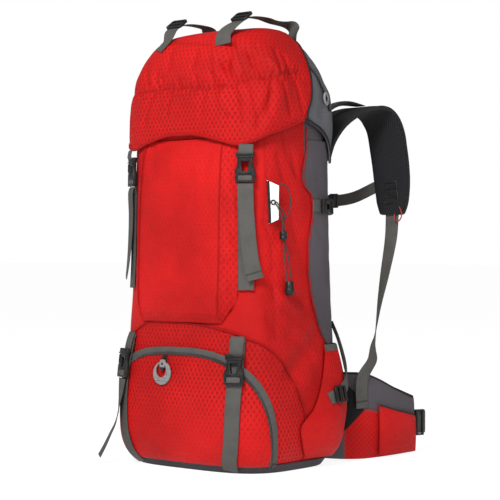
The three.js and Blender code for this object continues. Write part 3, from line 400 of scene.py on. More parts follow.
def nylon(name, lit, shaded, dotted=True):
    """Coated nylon: a fine ripstop weave, patches of painted shade between its lit and shaded tones, seams darkened
    partly by their thread and partly by painted shade in their grooves, and dots woven into some panels.
    """
    paint = Paint(name, Roughness=0.6)
    paint.shader.inputs["Specular IOR Level"].default_value = 0.13
    u, v = paint.flat()
    weave = (u * (2 * math.pi / 0.0009)).sin() * (v * (2 * math.pi / 0.0009)).sin()
    rip = (u * (2 * math.pi / 0.0052)).cos().step(0.93, 1.0).higher((v * (2 * math.pi / 0.0052)).cos().step(0.93, 1.0))
    # noise mixes the lit and shaded tones into patches of painted shade over the cloth
    painted_shade_patches = paint.noise(7.0, 4.0)
    tint = paint.blend(painted_shade_patches.step(0.3, 0.7), shaded, lit)
    tint = paint.blend(rip * 0.12, tint, tuple(1.25 * c for c in lit))
    if dotted:
        dots = (u * (2 * math.pi / 0.0082)).cos() * (v * (math.pi / 0.0066)).cos()
        dot = dots.step(0.1, 0.45) * paint.mark("dots")
        tint = paint.blend(dot * 0.62, tint, tuple(0.45 * c for c in shaded))
        weave = weave * 0.5 - dot * 0.9
    if dotted:
        tint = paint.blend(paint.mark("grey"), tint, (0.085, 0.075, 0.085))
    # the seam mark darkens the cloth along seams, hems and edges: partly the thread's own colour, partly painted shade
    # in the seam's groove
    seams = paint.mark("seam")
    tint = paint.blend(seams * 0.3, tint, tuple(0.35 * c for c in shaded))
    paint.feed("Base Color", tint)
    paint.feed("Roughness", paint.noise(60.0, 2.0) * 0.16 + 0.52)
    crumple = paint.noise(38.0, 4.0) * 3.2 + paint.noise(170.0, 3.0) * 0.8
    paint.relief(weave * 0.25 + rip * 0.35 + crumple, 0.0008, 0.85)
    return paint


red_cloth = nylon("red nylon", (0.56, 0.0075, 0.0075), (0.38, 0.0045, 0.0045))
grey_cloth = nylon("grey nylon", (0.098, 0.086, 0.098), (0.072, 0.063, 0.072), dotted=False)
bag = Skin(bag_sections, bag_folds, True)


def near_line(skin, line, around, z):
    """Distance on the cloth from a line of (around, height) points, in metres."""
    reach = skin.size(z)
    best = np.full(np.broadcast(around, z).shape, 9.0)
    for (u0, h0), (u1, h1) in zip(line[:-1], line[1:]):
        ax, az = u0 * reach, h0 * height
        bx, bz = u1 * reach - ax, h1 * height - az
        px, pz = around * reach - ax, z - az
        k = np.clip((px * bx + pz * bz) / (bx * bx + bz * bz), 0, 1)
        best = np.minimum(best, np.hypot(px - k * bx, pz - k * bz))
    return best


# the seams of the bag's own cloth, and the arch above which the lower panel stops
upper_side_seam = [(.32, .744), (.329, .686), (.333, .642), (.321, .551), (.344, .52), (.353, .49), (.36, .402), (.368, .294)]
shoulder_dart = [(.396, .747), (.428, .687), (.472, .649)]
arch_seam = [(-.32, .2), (-.27, .28), (-.21, .31), (-.14, .327), (-.02, .328), (.093, .324), (.177, .315), (.225, .307),
             (.275, .294), (.314, .284), (.35, .268), (.387, .244), (.426, .213), (.452, .183), (.484, .142),
             (.506, .092), (.517, .058), (.504, .012)]
bag_creases = [
    (.39, .6, .37, .5, .5, -.35), (.44, .58, .47, .52, .45, -.3), (.37, .45, .45, .42, .5, -.35), (.385, .41, .5, .375, .5, -.4),
    (.4, .36, .49, .33, .45, -.35), (.41, .33, .52, .29, .4, .3), (.42, .3, .54, .255, .45, -.4), (.4, .22, .47, .2, .4, -.3),
    (.38, .7, .41, .64, .45, -.35), (.45, .7, .47, .66, .4, -.3), (.255, .75, .25, .67, .5, -.3), (.29, .735, .3, .66, .4, -.3),
    (.345, .44, .37, .38, .4, -.3), (.335, .34, .38, .31, .45, -.35), (.36, .6, .35, .56, .3, .25)]
around = np.linspace(-1, 1, 301)[None, :-1]
z = (np.linspace(0, 1, 150) * (0.82 * height - 0.0026) + 0.0026)[:, None]
around, z = np.broadcast_arrays(around, z)
lines = np.minimum(near_line(bag, upper_side_seam, np.abs(around), z), near_line(bag, shoulder_dart, np.abs(around), z))
lines = np.minimum(lines, near_line(bag, [(abs(u), h) for u, h in arch_seam[4:]], np.abs(around), z))
proud = 1.7 * bag.fold(bag_creases, around, z, True) - 0.001 * np.exp(-(lines / 0.003) ** 2)
reach = bag.size(z)
proud = proud - 0.00045 * (1 + ripple(around * reach * 260, z * 200, 3)) * np.exp(-((lines - 0.008) / 0.008) ** 2)
proud = proud + np.where(z < 0.31 * height, 0, 0.0005) * ripple(around * reach * 95, z * 62, 5)
open_cloth = (np.abs(around) > 0.24) & (np.abs(around) < 0.62)
proud = np.where(open_cloth | (z < 0.32 * height), proud, np.minimum(proud, 0) * 0.3)
under = np.interp(np.abs(around), [abs(u) for u, h in arch_seam[4:]], [h for u, h in arch_seam[4:]], right=0) * height
uv_around = np.linspace(-1, 1, 301)[None, :] * bag.size(z[:, :1])
uv = np.stack(np.broadcast_arrays(uv_around, z[:, :1]), axis=-1)
grey_back = np.clip((np.abs(around) - 0.515) / 0.004, 0, 1) * np.clip((z / height - 0.7) / 0.004, 0, 1)
grey_back = np.maximum(grey_back, np.clip((np.abs(around) - 0.735) / 0.004, 0, 1))
bag_cloth = grid("bag_cloth", bag.point(around, z, proud), uv, around=True, ends=("first",), marks={
    "grey": grey_back,
    "dots": np.maximum(np.clip((under - z) / 0.003, 0, 1), 0.4 * (np.abs(around) > 0.33)),
    "seam": np.exp(-(lines / 0.0022) ** 2)})
thicken(bag_cloth, 0.002)
finish(bag_cloth, red_cloth, "red_cloth", "main_bag")


# ---------------------------------------------------------------- base
# A shallow pan of thick dark grey coated cloth that the bag is sewn into.
base_cloth = nylon("coated base cloth", (0.055, 0.047, 0.055), (0.036, 0.031, 0.036), dotted=False)
around = np.linspace(-1, 1, 241)[None, :-1]
rows = [(0, -0.004), (0.0002, 0.0), (0.0011, 0.0018), (0.0024, 0.0026), (0.005, 0.0031), (0.0085, 0.0029),
        (0.0118, 0.0030), (0.0136, 0.0028), (0.014, 0.0020), (0.0138, 0.0012)]
shape = np.array([bag.point(around[0], max(z, 0.0022), proud) * (1, 1, 0) + (0, 0, z) for z, proud in rows])
uv_around = np.linspace(-1, 1, 241)[None, :] * 0.46
uv = np.stack(np.broadcast_arrays(uv_around, np.array([z for z, p in rows])[:, None]), axis=-1)
pan = grid("base_cloth", shape, uv, around=True, ends=("first",))
thicken(pan, 0.0018)
finish(pan, base_cloth, "base_cloth", "base_panel")


# ---------------------------------------------------------------- front pocket
# A flat front panel of plain red nylon between two pleated gussets, piped along its edges.
pocket_rows = [(.329, .172, .176, .1), (.35, .176, .2, .65), (.378, .18, .228, .9), (.44, .184, .236, 1),
               (.54, .185, .238, 1), (.63, .185, .24, .85), (.7, .184, .24, .5), (.735, .182, .24, .05)]
pocket_columns = [(-1, 0), (-.55, .45), (0, 1), (.07, 1.08), (.22, 1.2), (.37, 1.28), (.5, 1.3)]
pocket_creases = [
    (-.2, .45, -.225, .36, .3, -.35), (.2, .46, .228, .36, .3, -.4), (.2, .6, .225, .5, .3, -.35), (-.2, .6, -.225, .5, .3, -.35),
    (.205, .7, .225, .62, .3, -.35), (-.205, .7, -.225, .62, .3, -.35), (.19, .4, .215, .35, .25, .3),
    (-.15, .725, -.12, .66, .7, -.25), (.14, .725, .12, .65, .7, -.25), (.0, .36, .1, .37, .8, -.2), (-.1, .72, .02, .7, .6, -.2)]


def pocket(a, b, lift=0.0):
    """Where the front pocket's cloth lies: a across from left to right, b up."""
    level = .329 + (.735 - .329) * b
    side = np.where(a < 0.5, -1.0, 1.0)
    place = (0.5 - np.abs(a - 0.5)) * 2 * (len(pocket_columns) - 1)
    keys = np.arange(len(pocket_columns))
    across = np.interp(place, keys, [c[0] for c in pocket_columns])
    share_proud = np.interp(place, keys, [c[1] for c in pocket_columns])
    edge, foot = read(pocket_rows, level, 1), read(pocket_rows, level, 2)
    share = np.where(across < 0, edge + (foot - edge) * -across, edge * (1 - 2 * across))
    proud = read(pocket_rows, level, 3) * share_proud * 0.014
    return side * share, level * height, seat + proud + lift


a, b = np.meshgrid(np.linspace(0, 1, 150), np.linspace(0, 1, 110))
around, z, proud = pocket(a, b, 0.002)
edge = read(pocket_rows, z / height, 1)
line = np.abs(np.abs(around) - edge) * 0.462
proud = proud + 1.5 * bag.fold(pocket_creases, around, z, False) + 0.0006 * ripple(around * 46, z * 55, 2)
proud = proud - 0.0006 * np.exp(-((line - 0.003) / 0.0022) ** 2)
uv = np.stack([around * 0.462, z], axis=-1)
pocket_cloth = grid("front_pocket_cloth", bag.point(around, z, proud), uv,
                    marks={"dots": 0.22 + 0.3 * (np.abs(around) > edge), "seam": 0.4 * np.exp(-((line - 0.003) / 0.002) ** 2)})
thicken(pocket_cloth, 0.002)
finish(pocket_cloth, red_cloth, "red_cloth", "front_pocket")


def band(name, path, across, wide, thick, steps=None, crown=0.0, over=9):
    """A flat woven band along a path, its width turned along the across vectors."""
    path, across = np.array(path, float), np.array(across, float)
    rough = curve_through(path, np.linspace(0, 1, 60))
    steps = steps or max(12, int(length_of(rough) / 0.0028))
    shares = np.linspace(0, 1, steps + 1)
    centre, turned = curve_through(path, shares), curve_through(across, shares)
    ahead = np.gradient(curve_through(path, shares), axis=0)
    ahead /= np.linalg.norm(ahead, axis=1)[:, None]
    turned -= ahead * (turned * ahead).sum(axis=1)[:, None]
    turned /= np.linalg.norm(turned, axis=1)[:, None]
    up = np.cross(ahead, turned)
    if np.isscalar(wide):
        wide = [wide]
    wide = np.interp(shares, np.linspace(0, 1, len(wide)), wide)
    line = np.linspace(-1, 1, over)
    arch = crown * (1 - line ** 2)
    edge = np.sqrt(np.clip(1 - np.abs(line) ** 16, 0.1, 1))
    ring_u = np.concatenate([line, line[::-1]])
    ring_v = np.concatenate([-0.5 * thick * edge + arch, (0.5 * thick * edge + arch)[::-1]])
    rings = (centre[:, None, :] + turned[:, None, :] * (ring_u[None, :, None] * wide[:, None, None] / 2)
             + up[:, None, :] * ring_v[None, :, None])
    run = np.concatenate([[0], np.cumsum(np.linalg.norm(np.diff(centre, axis=0), axis=1))])
    around_u = np.concatenate([ring_u, ring_u[:1]])
    uv = np.stack([around_u[None, :] * wide[:, None] / 2, np.broadcast_to(run[:, None], (len(run), len(around_u)))], axis=-1)
    share_u = np.broadcast_to(np.abs(ring_u)[None, :], rings.shape[:2])
    share_v = np.broadcast_to((run / run[-1])[:, None], rings.shape[:2])
    piece = grid(name, rings, uv, around=True, ends=("first", "last"), marks={"edge": share_u, "run": share_v})
    select(piece)
    bpy.ops.object.mode_set(mode="EDIT")
    bpy.ops.mesh.select_all(action="SELECT")
    bpy.ops.mesh.normals_make_consistent(inside=False)
    bpy.ops.object.mode_set(mode="OBJECT")
    bpy.ops.object.shade_smooth_by_angle(angle=math.radians(50))
    return piece


def on_skin(name, skin, rows, wide, thick, crown=0.0, steps=None, over=9):
    """A band laid on a skin; each row gives around, height and how far its middle stands proud."""
    rows = np.array(rows, float)
    path = skin.point(rows[:, 0], rows[:, 1] * height, rows[:, 2] / 1000)
    out = skin.frame(rows[:, 0], rows[:, 1] * height)[2]
    ahead = np.gradient(path, axis=0)
    across = np.cross(out, ahead)
    return band(name, path, across, wide, thick, steps, -crown, over)


def webbing_paint(name, lit, shaded, pitch=0.0016):
    """Woven webbing: fine ribs along it, thicker selvedges, and a little wear."""
    paint = Paint(name, Roughness=0.72)
    paint.shader.inputs["Specular IOR Level"].default_value = 0.2
    u, v = paint.flat()
    ribs = (u * (2 * math.pi / pitch)).sin()
    picks = (v * (2 * math.pi / (pitch * 1.2)) + ribs * 0.8).sin()
    selvedge = paint.mark("edge").step(0.86, 0.95)
    tint = paint.blend((ribs * picks).step(-0.9, 0.9), shaded, lit)
    tint = paint.blend(paint.noise(45.0, 3.0).step(0.35, 0.75) * 0.35, tint, tuple(0.75 * c for c in shaded))
    tint = paint.blend(selvedge * 0.35, tint, tuple(0.7 * c for c in shaded))
    run = paint.mark("run")
    hem = run.step(0.962, 0.966) * (1 - run.step(0.97, 0.974))
    paint.feed("Base Color", paint.blend(hem * 0.7, tint, tuple(0.4 * c for c in shaded)))
    paint.relief(ribs * 0.5 + picks * 0.3 - selvedge * 0.4 - hem * 1.5, 0.00025, 0.8)
    return paint


piping = nylon("red piping", (0.42, 0.005, 0.005), (0.3, 0.004, 0.004), dotted=False)
black_tape = webbing_paint("black tape", (0.02, 0.02, 0.021), (0.01, 0.01, 0.011))
webbing = webbing_paint("grey webbing", (0.104, 0.1, 0.092), (0.06, 0.058, 0.053))


def trim(name, skin, line, wide, thick, proud, paint, slot):
    rows = [(u, h, proud) for u, h in line]
    return finish(on_skin(name, skin, rows, wide, thick, over=5), paint, slot)


for side, sign in (("r", 1), ("l", -1)):
    rows = [(sign * (read(pocket_rows, np.array(h), 1) - 0.003), h, 1000 * (seat + 0.0024 + 0.014 * 1.02 * read(pocket_rows, np.array(h), 3)))
            for h in np.linspace(.338, .73, 14)]
    finish(on_skin("pocket_piping_" + side, bag, rows, 0.0026, 0.0016, over=5), piping, "red_cloth")


# ---------------------------------------------------------------- lower door
# The door of the bottom compartment: a swelling arch of dotted nylon in a curved zip, with a
# grey cover sewn over the zip and a big moulded hook for a puller.
def arch_point(share, inset):
    crowded = share + (np.sin(share * math.pi / 2) - share) * 0.8
    angle = crowded * math.pi / 2
    bow = lambda value: np.clip(value, 0, None) ** (2 / 2.9)
    level = 0.259 * height
    z = np.maximum(0.015, (level - inset) * bow(np.cos(angle)))
    return (0.348 - inset / bag.size(z)) * np.sign(share) * bow(np.abs(np.sin(angle))), z


a, b = np.meshgrid(np.linspace(0, 1, 170), np.linspace(0, 1, 90))
share, top = arch_point(2 * a - 1, 0.001)
z = 0.015 + (top - 0.015) * b ** 1.4
swell = 0.005 * np.sin(math.pi * a) ** 0.7 * np.sin(math.pi * (0.12 + 0.81 * b)) ** 0.8
door_creases = [(-.2, .21, -.12, .16, .8, -.3), (.26, .16, .3, .08, .7, -.35), (-.27, .14, -.25, .07, .7, -.3),
                (.05, .235, .15, .22, .6, -.25), (.1, .05, .2, .035, .7, -.3), (-.1, .04, -.2, .06, .6, -.25)]
proud = seat + 0.002 + swell + 0.6 * bag.fold(door_creases, share, z, False) + 0.0004 * ripple(share * 40, z * 80, 7)
rim = np.minimum(np.minimum(a, 1 - a) * 0.6, (1 - b) * 0.18)
fade = np.clip((z - 0.03) / 0.09, 0.25, 1)
door = grid("lower_door_cloth", bag.point(share, z, proud), np.stack([share * bag.size(z), z], axis=-1),
            marks={"dots": fade, "seam": np.exp(-(rim / 0.003) ** 2) * 0.8})
thicken(door, 0.002)
finish(door, red_cloth, "red_cloth", "lower_door")

a, b = np.meshgrid(np.linspace(0, 1, 260), np.linspace(0, 1, 13))
share, z = arch_point(-0.985 + 1.97 * a, -(0.0005 + 0.0095 * b))
proud = seat + 0.0003 + 0.003 * (0.72 + 0.28 * np.sin(math.pi * np.clip(b, 0.02, 0.98)) ** 0.5)
proud = proud + 0.00025 * ripple(a * 190, b * 3, 4)
uv = np.stack([(b - 0.5) * 0.0115, a * 0.86], axis=-1)
cover = grid("zip_cover_cloth", bag.point(share, z, proud), uv, marks={"edge": np.abs(2 * b - 1) ** 3 * 0.97, "run": a})
thicken(cover, 0.0024)
finish(cover, webbing, "webbing", "zip_cover")

coil = Paint("zip coil", Roughness=0.35)
coil_u, coil_v = coil.flat()
teeth = (coil_v * (2 * math.pi / 0.0018)).sin()
coil.feed("Base Color", coil.blend(teeth.step(-0.4, 0.6), (0.008, 0.008, 0.009), (0.05, 0.05, 0.052)))
coil.relief(teeth, 0.0004)
shares = np.linspace(-0.97, 0.97, 60)
share, z = arch_point(shares, 0.0012)
rows = list(zip(share, z / height, np.full(60, 1000 * (seat + 0.0042))))
finish(on_skin("lower_zip", bag, rows, 0.0034, 0.0015, over=7, steps=300), coil, "black_plastic")


def moulded(name, outline, holes=(), thick=0.003, bevel=0.0006, base=0.0):
    """A flat moulded piece: a filled outline with holes, raised and rounded, its back at base."""
    shape = bpy.data.curves.new(name, "CURVE")
    shape.dimensions, shape.fill_mode = "2D", "BOTH"
    shape.extrude, shape.bevel_depth, shape.bevel_resolution = thick / 2 - bevel, bevel, 2
    shape.offset = -bevel
    for points in (outline, *holes):
        line = shape.splines.new("POLY")
        line.points.add(len(points) - 1)
        for point, (x, y) in zip(line.points, points):
            point.co = (x, y, 0, 1)
        line.use_cyclic_u = True
    piece = bpy.data.objects.new(name, shape)
    bpy.context.collection.objects.link(piece)
    select(piece)
    bpy.ops.object.convert(target="MESH")
    piece = bpy.context.view_layer.objects.active
    piece.data.transform(Matrix.Translation((0, 0, thick / 2 + base)))
    modify(piece, "WELD", merge_threshold=0.00001)
    return piece


def weld(name, pieces):
    """Several moulded parts made one piece."""
    select(pieces[0])
    for piece in pieces[1:]:
        piece.select_set(True)
    if len(pieces) > 1:
        bpy.ops.object.join()
    piece = bpy.context.view_layer.objects.active
    piece.name = piece.data.name = name
    select(piece)
    bpy.ops.object.shade_smooth_by_angle(angle=math.radians(40))
    return piece


def set_at(piece, origin, x, y):
    """Moves a piece drawn at the origin to its place, inside its mesh."""
    x, y = Vector(x).normalized(), Vector(y)
    z = x.cross(y).normalized()
    y = z.cross(x)
    turn = Matrix((x, y, z)).transposed().to_4x4()
    piece.data.transform(Matrix.Translation(Vector(origin)) @ turn)
    piece.data.update()
    return piece


def set_on(piece, skin, around, level, proud, turn=0.0, shift=(0, 0)):
    across, up, out = [v.reshape(3) for v in skin.frame(around, level * height)]
    origin = skin.point(around, level * height, proud).reshape(3)
    c, s = math.cos(turn), math.sin(turn)
    x, y = across * c + up * s, up * c - across * s
    return set_at(piece, origin + x * shift[0] + y * shift[1], x, y)


def copy_left(piece, name):
    """The same piece for the other side, with its own mesh and its faces outwards."""
    twin = piece.copy()
    twin.data = piece.data.copy()
    twin.name = twin.data.name = name
    for note in list(twin.keys()):
        del twin[note]
    bpy.context.collection.objects.link(twin)
    twin.data.transform(Matrix.Scale(-1, 4, (1, 0, 0)))
    twin.data.flip_normals()
    return twin


plastic = Paint("black acetal", Roughness=0.4)
plastic.shader.inputs["Specular IOR Level"].default_value = 0.35
wear = plastic.noise(160.0, 4.0)
plastic.feed("Base Color", plastic.blend(wear.step(0.4, 0.8), (0.005, 0.005, 0.0055), (0.012, 0.012, 0.013)))
plastic.feed("Roughness", wear * 0.2 + 0.34)
plastic.relief(plastic.noise(900.0, 2.0), 0.00008, 0.5)

rubber = Paint("grey rubber", Roughness=0.55)
spots = rubber.node("ShaderNodeTexVoronoi", {"feature": "F1"}, {"Vector": rubber.place(), "Scale": 210.0, "Randomness": 0.4})
rubber.feed("Base Color", rubber.blend(spots.step(0.16, 0.3), (0.02, 0.02, 0.022), (0.2, 0.195, 0.19)))
rubber.feed("Roughness", rubber.noise(90.0) * 0.2 + 0.45)
rubber.relief(spots.step(0.16, 0.3), 0.0004)


def round_line(radius, sides, squeeze=1.0, start=0.0, stop=2 * math.pi, centre=(0, 0)):
    angles = np.linspace(start, stop, sides, endpoint=abs(stop - start) < 6.28)
    return [(centre[0] + radius * math.cos(t), centre[1] + radius * squeeze * math.sin(t)) for t in angles]


door_proud = seat + 0.007
hook = moulded("hook", round_line(0.0185, 56), [round_line(0.0108, 44, 1.0, centre=(-0.0022, 0.0042))], 0.0038, 0.0014)
stem = moulded("stem", [(-0.0045, 0.009), (0.0045, 0.009), (0.0062, 0.0165), (0.0035, 0.0215), (-0.0035, 0.0215), (-0.0062, 0.0165)],
               [round_line(0.0026, 20, centre=(0, 0.0155))], 0.0042, 0.001)
puller = weld("lower_zip_puller", [hook, stem])
finish(set_on(puller, bag, -0.05, 0.213, door_proud - 0.0006), rubber, "puller", "zip_puller")
slider = weld("lower_zip_slider", [
    moulded("body", [(-.004, -.006), (.004, -.006), (.0052, .004), (.003, .007), (-.003, .007), (-.0052, .004)], (), 0.0034, 0.0008),
    moulded("bridge", [(-.0012, -.005), (.0012, -.005), (.0012, .005), (-.0012, .005)], (), 0.0022, 0.0006, 0.0034)])
finish(set_on(slider, bag, -0.05, 0.243, seat + 0.0034), plastic, "black_plastic")
toggle = weld("lower_zip_cord", [moulded("toggle", round_line(0.0042, 24, 2.0), (), 0.0036, 0.0012)])
finish(set_on(toggle, bag, -0.05, 0.2285, door_proud - 0.0004), plastic, "black_plastic")
arch_line = [(u, h) for u, h in arch_seam[1:]]
trim("arch_piping", bag, arch_line, 0.003, 0.0016, 0.5, piping, "red_cloth")


# ---------------------------------------------------------------- side panels and pockets
# Grey nylon from the seam to the back on both sides, and a deep gathered pocket of red nylon
# below it, bound with grey tape.
panel_front = [(.277, .62), (.31, .581), (.355, .552), (.4, .534), (.467, .526), (.52, .534), (.568, .552), (.612, .546),
               (.63, .51), (.66, .5), (.713, .522), (.765, .523)]
pocket_front = [(.03, .505, .35), (.06, .48, .8), (.1, .47, 1), (.14, .535, 1), (.2, .58, .8), (.272, .606, .3)]


def side_pocket(a, level, lift):
    around = read(pocket_front, level, 1)
    around = around + (.728 - around) * a
    swell = read(pocket_front, level, 2) * 0.019 * np.clip(np.sin(math.pi * a ** 1.25), 0, None) ** 0.8
    return bag.point(around, level * height, seat + 0.0005 + swell + lift)


for side, sign in (("r", 1), ("l", -1)):
    a, b = np.meshgrid(np.linspace(0, 1, 70), np.linspace(0, 1, 120))
    level = .277 + (.735 - .277) * b
    front = read(panel_front, level, 1)
    around = front + (.745 - front) * a
    line = np.minimum(a * (0.745 - front) * 0.462, 9)
    proud = seat + 0.0026 + 0.0004 * ripple(around * 50, level * 60, 6) + bag.fold(
        [(.56, .7, .6, .62, .6, -.3), (.6, .52, .66, .47, .6, -.3), (.58, .42, .64, .36, .5, -.35)], around, level * height, True) * 0.5
    points = flip(bag.point(around, level * height, proud), side)
    uv = np.stack([around * 0.462, level * height], axis=-1)
    marks = {"seam": np.exp(-(line / 0.003) ** 2)}
    if side == "l":
        points, uv, marks = points[:, ::-1], uv[:, ::-1], {k: v[:, ::-1] for k, v in marks.items()}
    panel = grid("side_panel_cloth_" + side, points, uv, marks=marks)
    thicken(panel, 0.002)
    finish(panel, grey_cloth, "grey_cloth", "side_panel_" + side)
    edge = [(sign * (u + 0.001), h) for h, u in panel_front[1:]]
    trim("side_piping_" + side, bag, edge, 0.0022, 0.0012, 3.2, piping, "red_cloth")

    a, b = np.meshgrid(np.linspace(0, 1, 90), np.linspace(0, 1, 80))
    level = .03 + (.272 - .03) * b
    gather = np.clip((b - 0.62) / 0.38, 0, 1) * 0.0009 * np.sin(a * 2 * math.pi * 17 + 2 * np.sin(b * 7))
    slump = 0.0008 * ripple(a * 9, b * 7, 8) * np.sin(math.pi * a)
    points = flip(side_pocket(a, level, 0.002 + gather + slump), side)
    uv = np.stack([a * 0.2, level * height], axis=-1)
    marks = {"dots": 0 * a, "seam": np.exp(-(np.minimum(a * 0.2, b * 0.17) / 0.003) ** 2)}
    if side == "l":
        points, uv, marks = points[:, ::-1], uv[:, ::-1], {k: v[:, ::-1] for k, v in marks.items()}
    bellows = grid("side_pocket_cloth_" + side, points, uv, marks=marks)
    thicken(bellows, 0.002)
    finish(bellows, red_cloth, "red_cloth", "side_pocket_" + side)
    shares = np.linspace(0.01, 0.99, 30)
    mouth = flip(side_pocket(shares, np.full(30, .268), 0.0012 + 0 * shares), side)
    up = flip(side_pocket(shares, np.full(30, .272), 0.0012 + 0 * shares), side) - mouth
    finish(band("pocket_binding_" + side, mouth, up, 0.0115, 0.0036, over=7), webbing, "webbing")


# ---------------------------------------------------------------- lid
# A stuffed cap with its own pocket: a red dotted crown with a scalloped hem, and a grey rear
# part that holds the zip. The gathered seam across its front puckers the cloth.
lid_sections = [
    (.66, .522, .568, .497, 3.8), (.717, .527, .572, .508, 3.8), (.768, .532, .575, .516, 3.7), (.81, .531, .578, .516, 3.5),
    (.852, .524, .566, .49, 3.4), (.909, .484, .528, .408, 3.1), (.953, .419, .463, .292, 2.8), (.978, .362, .345, .228, 2.5),
    (.99, .297, .185, .25, 2.4), (.9955, .19, .06, .262, 2.3), (1, .075, .012, .18, 2.2)]
lid_folds = [
    (-.3, .853, .16, .849, .8, -1), (.16, .849, .27, .868, .8, -.9), (.27, .868, .49, .882, .8, -.8),
    (.26, .87, .25, .95, .8, -.5), (.4, .885, .37, .915, .9, .7), (.45, .865, .44, .81, 1, -.6), (.33, .8, .4, .85, 1.3, .5),
    (-.2, .87, -.23, .91, .9, -.7), (-.12, .86, -.14, .89, .8, -.6), (.6, .8, .63, .87, 1.1, -.8), (.66, .76, .68, .84, 1.1, .6),
    (-.695, .74, -.705, .83, 1.2, .7)]
lid = Skin(lid_sections, lid_folds, False)
hem = [(0, .744), (.06, .743), (.15, .73), (.21, .719), (.24, .717), (.285, .724), (.34, .74), (.43, .76), (.5, .776),
       (.545, .768), (.59, .756), (.63, .736), (.67, .706), (.69, .688), (.708, .7), (.735, .79), (.77, .816), (1, .82)]
rear_seam = [(.64, 0), (.77, .012), (.79, -.01), (.82, .035), (.87, .068), (.93, .09), (.97, .14), (1.04, .26)]
pucker_seam = [(-.33, .853), (-.16, .853), (-.1, .854), (0, .852), (.09, .8485), (.145, .848), (.21, .852), (.257, .864),
               (.284, .869), (.314, .865), (.342, .868), (.379, .872), (.42, .882), (.49, .884)]
top_seam = [(-.14, .963), (-.05, .957), (.05, .951), (.12, .947)]
corner_seam = [(.232, .962), (.242, .94), (.256, .905), (.266, .872)]
lid_creases = [
    (-.21, .893, -.165, .858, .3, -.5), (-.145, .888, -.12, .856, .3, -.5), (-.105, .88, -.095, .856, .3, -.45),
    (-.02, .872, -.015, .856, .3, -.35), (.06, .875, .07, .853, .3, -.4), (.13, .88, .14, .853, .3, -.4),
    (.19, .89, .205, .856, .3, -.45), (.31, .9, .33, .87, .35, -.5), (.36, .905, .39, .88, .35, .4), (.41, .93, .4, .89, .35, -.5),
    (.44, .92, .455, .885, .35, -.45), (-.05, .835, -.06, .795, .35, -.3), (.1, .838, .09, .79, .4, -.3), (.2, .84, .19, .78, .4, -.35),
    (.28, .85, .3, .78, .35, -.45), (.35, .85, .34, .79, .4, -.4), (.4, .855, .43, .79, .35, -.45), (.47, .86, .49, .8, .4, -.4),
    (.22, .95, .19, .9, .7, -.8), (.19, .9, .22, .86, .6, -.6), (.15, .93, .16, .88, .5, .5), (.29, .93, .3, .885, .6, -.7),
    (.22, .845, .235, .77, .55, -.6), (.17, .83, .2, .79, .5, .45), (.35, .83, .3, .76, .5, -.5), (-.14, .84, -.17, .78, .5, -.45), (-.1, .94, -.08, .9, .5, -.3), (.05, .93, .04, .895, .5, -.3), (.33, .94, .3, .92, .4, -.4)]


def lid_level(around, share):
    low = read(hem, np.abs(np.where(around > 1, 2 - around, around)), 1) * height
    return low + (height - low) * share


def lid_edge(share):
    """How far round the red crown reaches in that row, before the grey rear begins."""
    around = np.linspace(0.2, 1, 500)
    z = lid_level(around, np.full(500, share))
    beyond = lid.bare(around, z)[:, 1] - read(rear_seam, z / height, 1) * depth
    found = np.nonzero(beyond > 0)[0]
    return around[found[0]] if len(found) else 1.0


def lid_cloth(around, share):
    z = lid_level(around, share)
    turned = np.where(around > 1, around - 2, around)
    seams = near_line(lid, pucker_seam, turned, z)
    others = np.minimum(near_line(lid, top_seam, turned, z), near_line(lid, corner_seam, turned, z))
    run = turned * lid.size(z)
    proud = 1.9 * lid.fold(lid_creases, turned, z, False)
    proud = proud - 0.0011 * np.exp(-(seams / 0.0035) ** 2) - 0.0009 * np.exp(-(others / 0.0035) ** 2)
    proud = proud + 0.0009 * np.sin(run * 2 * math.pi / 0.0105 + 1.5 * np.sin(run * 90)) * np.exp(-((seams - 0.006) / 0.007) ** 2)
    proud = proud + 0.0006 * ripple(run * 85, z * 110, 9) * np.clip((z - 0.75 * height) / 0.03, 0, 1)
    hem_line = (z - lid_level(turned, np.zeros_like(z)))
    proud = proud - 0.0006 * np.exp(-((hem_line - 0.009) / 0.0015) ** 2)
    dots = 0.75 + 0.25 * np.clip((0.851 * height - z) / 0.002, 0, 1) * (turned < 0.245)
    marks = {"dots": dots, "seam": np.maximum(np.exp(-(np.minimum(seams, others) / 0.0026) ** 2), 0.5 * np.exp(-((hem_line - 0.009) / 0.0012) ** 2))}
    return lid.point(around, z, proud), np.stack([run, z], axis=-1), marks


shares = np.concatenate([np.linspace(0, 0.9, 66), np.linspace(0.91, 0.985, 12)])
edges = np.array([lid_edge(s) for s in shares])
t = np.linspace(-1, 1, 240)[None, :]
around = edges[:, None] * t
points, uv, marks = lid_cloth(around, np.broadcast_to(shares[:, None], around.shape))
crown = grid("lid_crown_cloth", points, uv, ends=("last",), marks=marks)
thicken(crown, 0.0022)
finish(crown, red_cloth, "red_cloth", "lid_crown")

rear_rows = shares[edges < 0.995]
t = np.linspace(0, 1, 150)[None, :]
around = edges[edges < 0.995][:, None] + (2 - 2 * edges[edges < 0.995][:, None]) * t
points, uv, marks = lid_cloth(around, np.broadcast_to(rear_rows[:, None], around.shape))
rear = grid("lid_rear_cloth", points, uv, marks={"seam": marks["seam"]})
thicken(rear, 0.0022)
lid_grey = nylon("lid grey nylon", (0.125, 0.122, 0.135), (0.092, 0.09, 0.1), dotted=False)
finish(rear, lid_grey, "grey_cloth", "lid_rear")

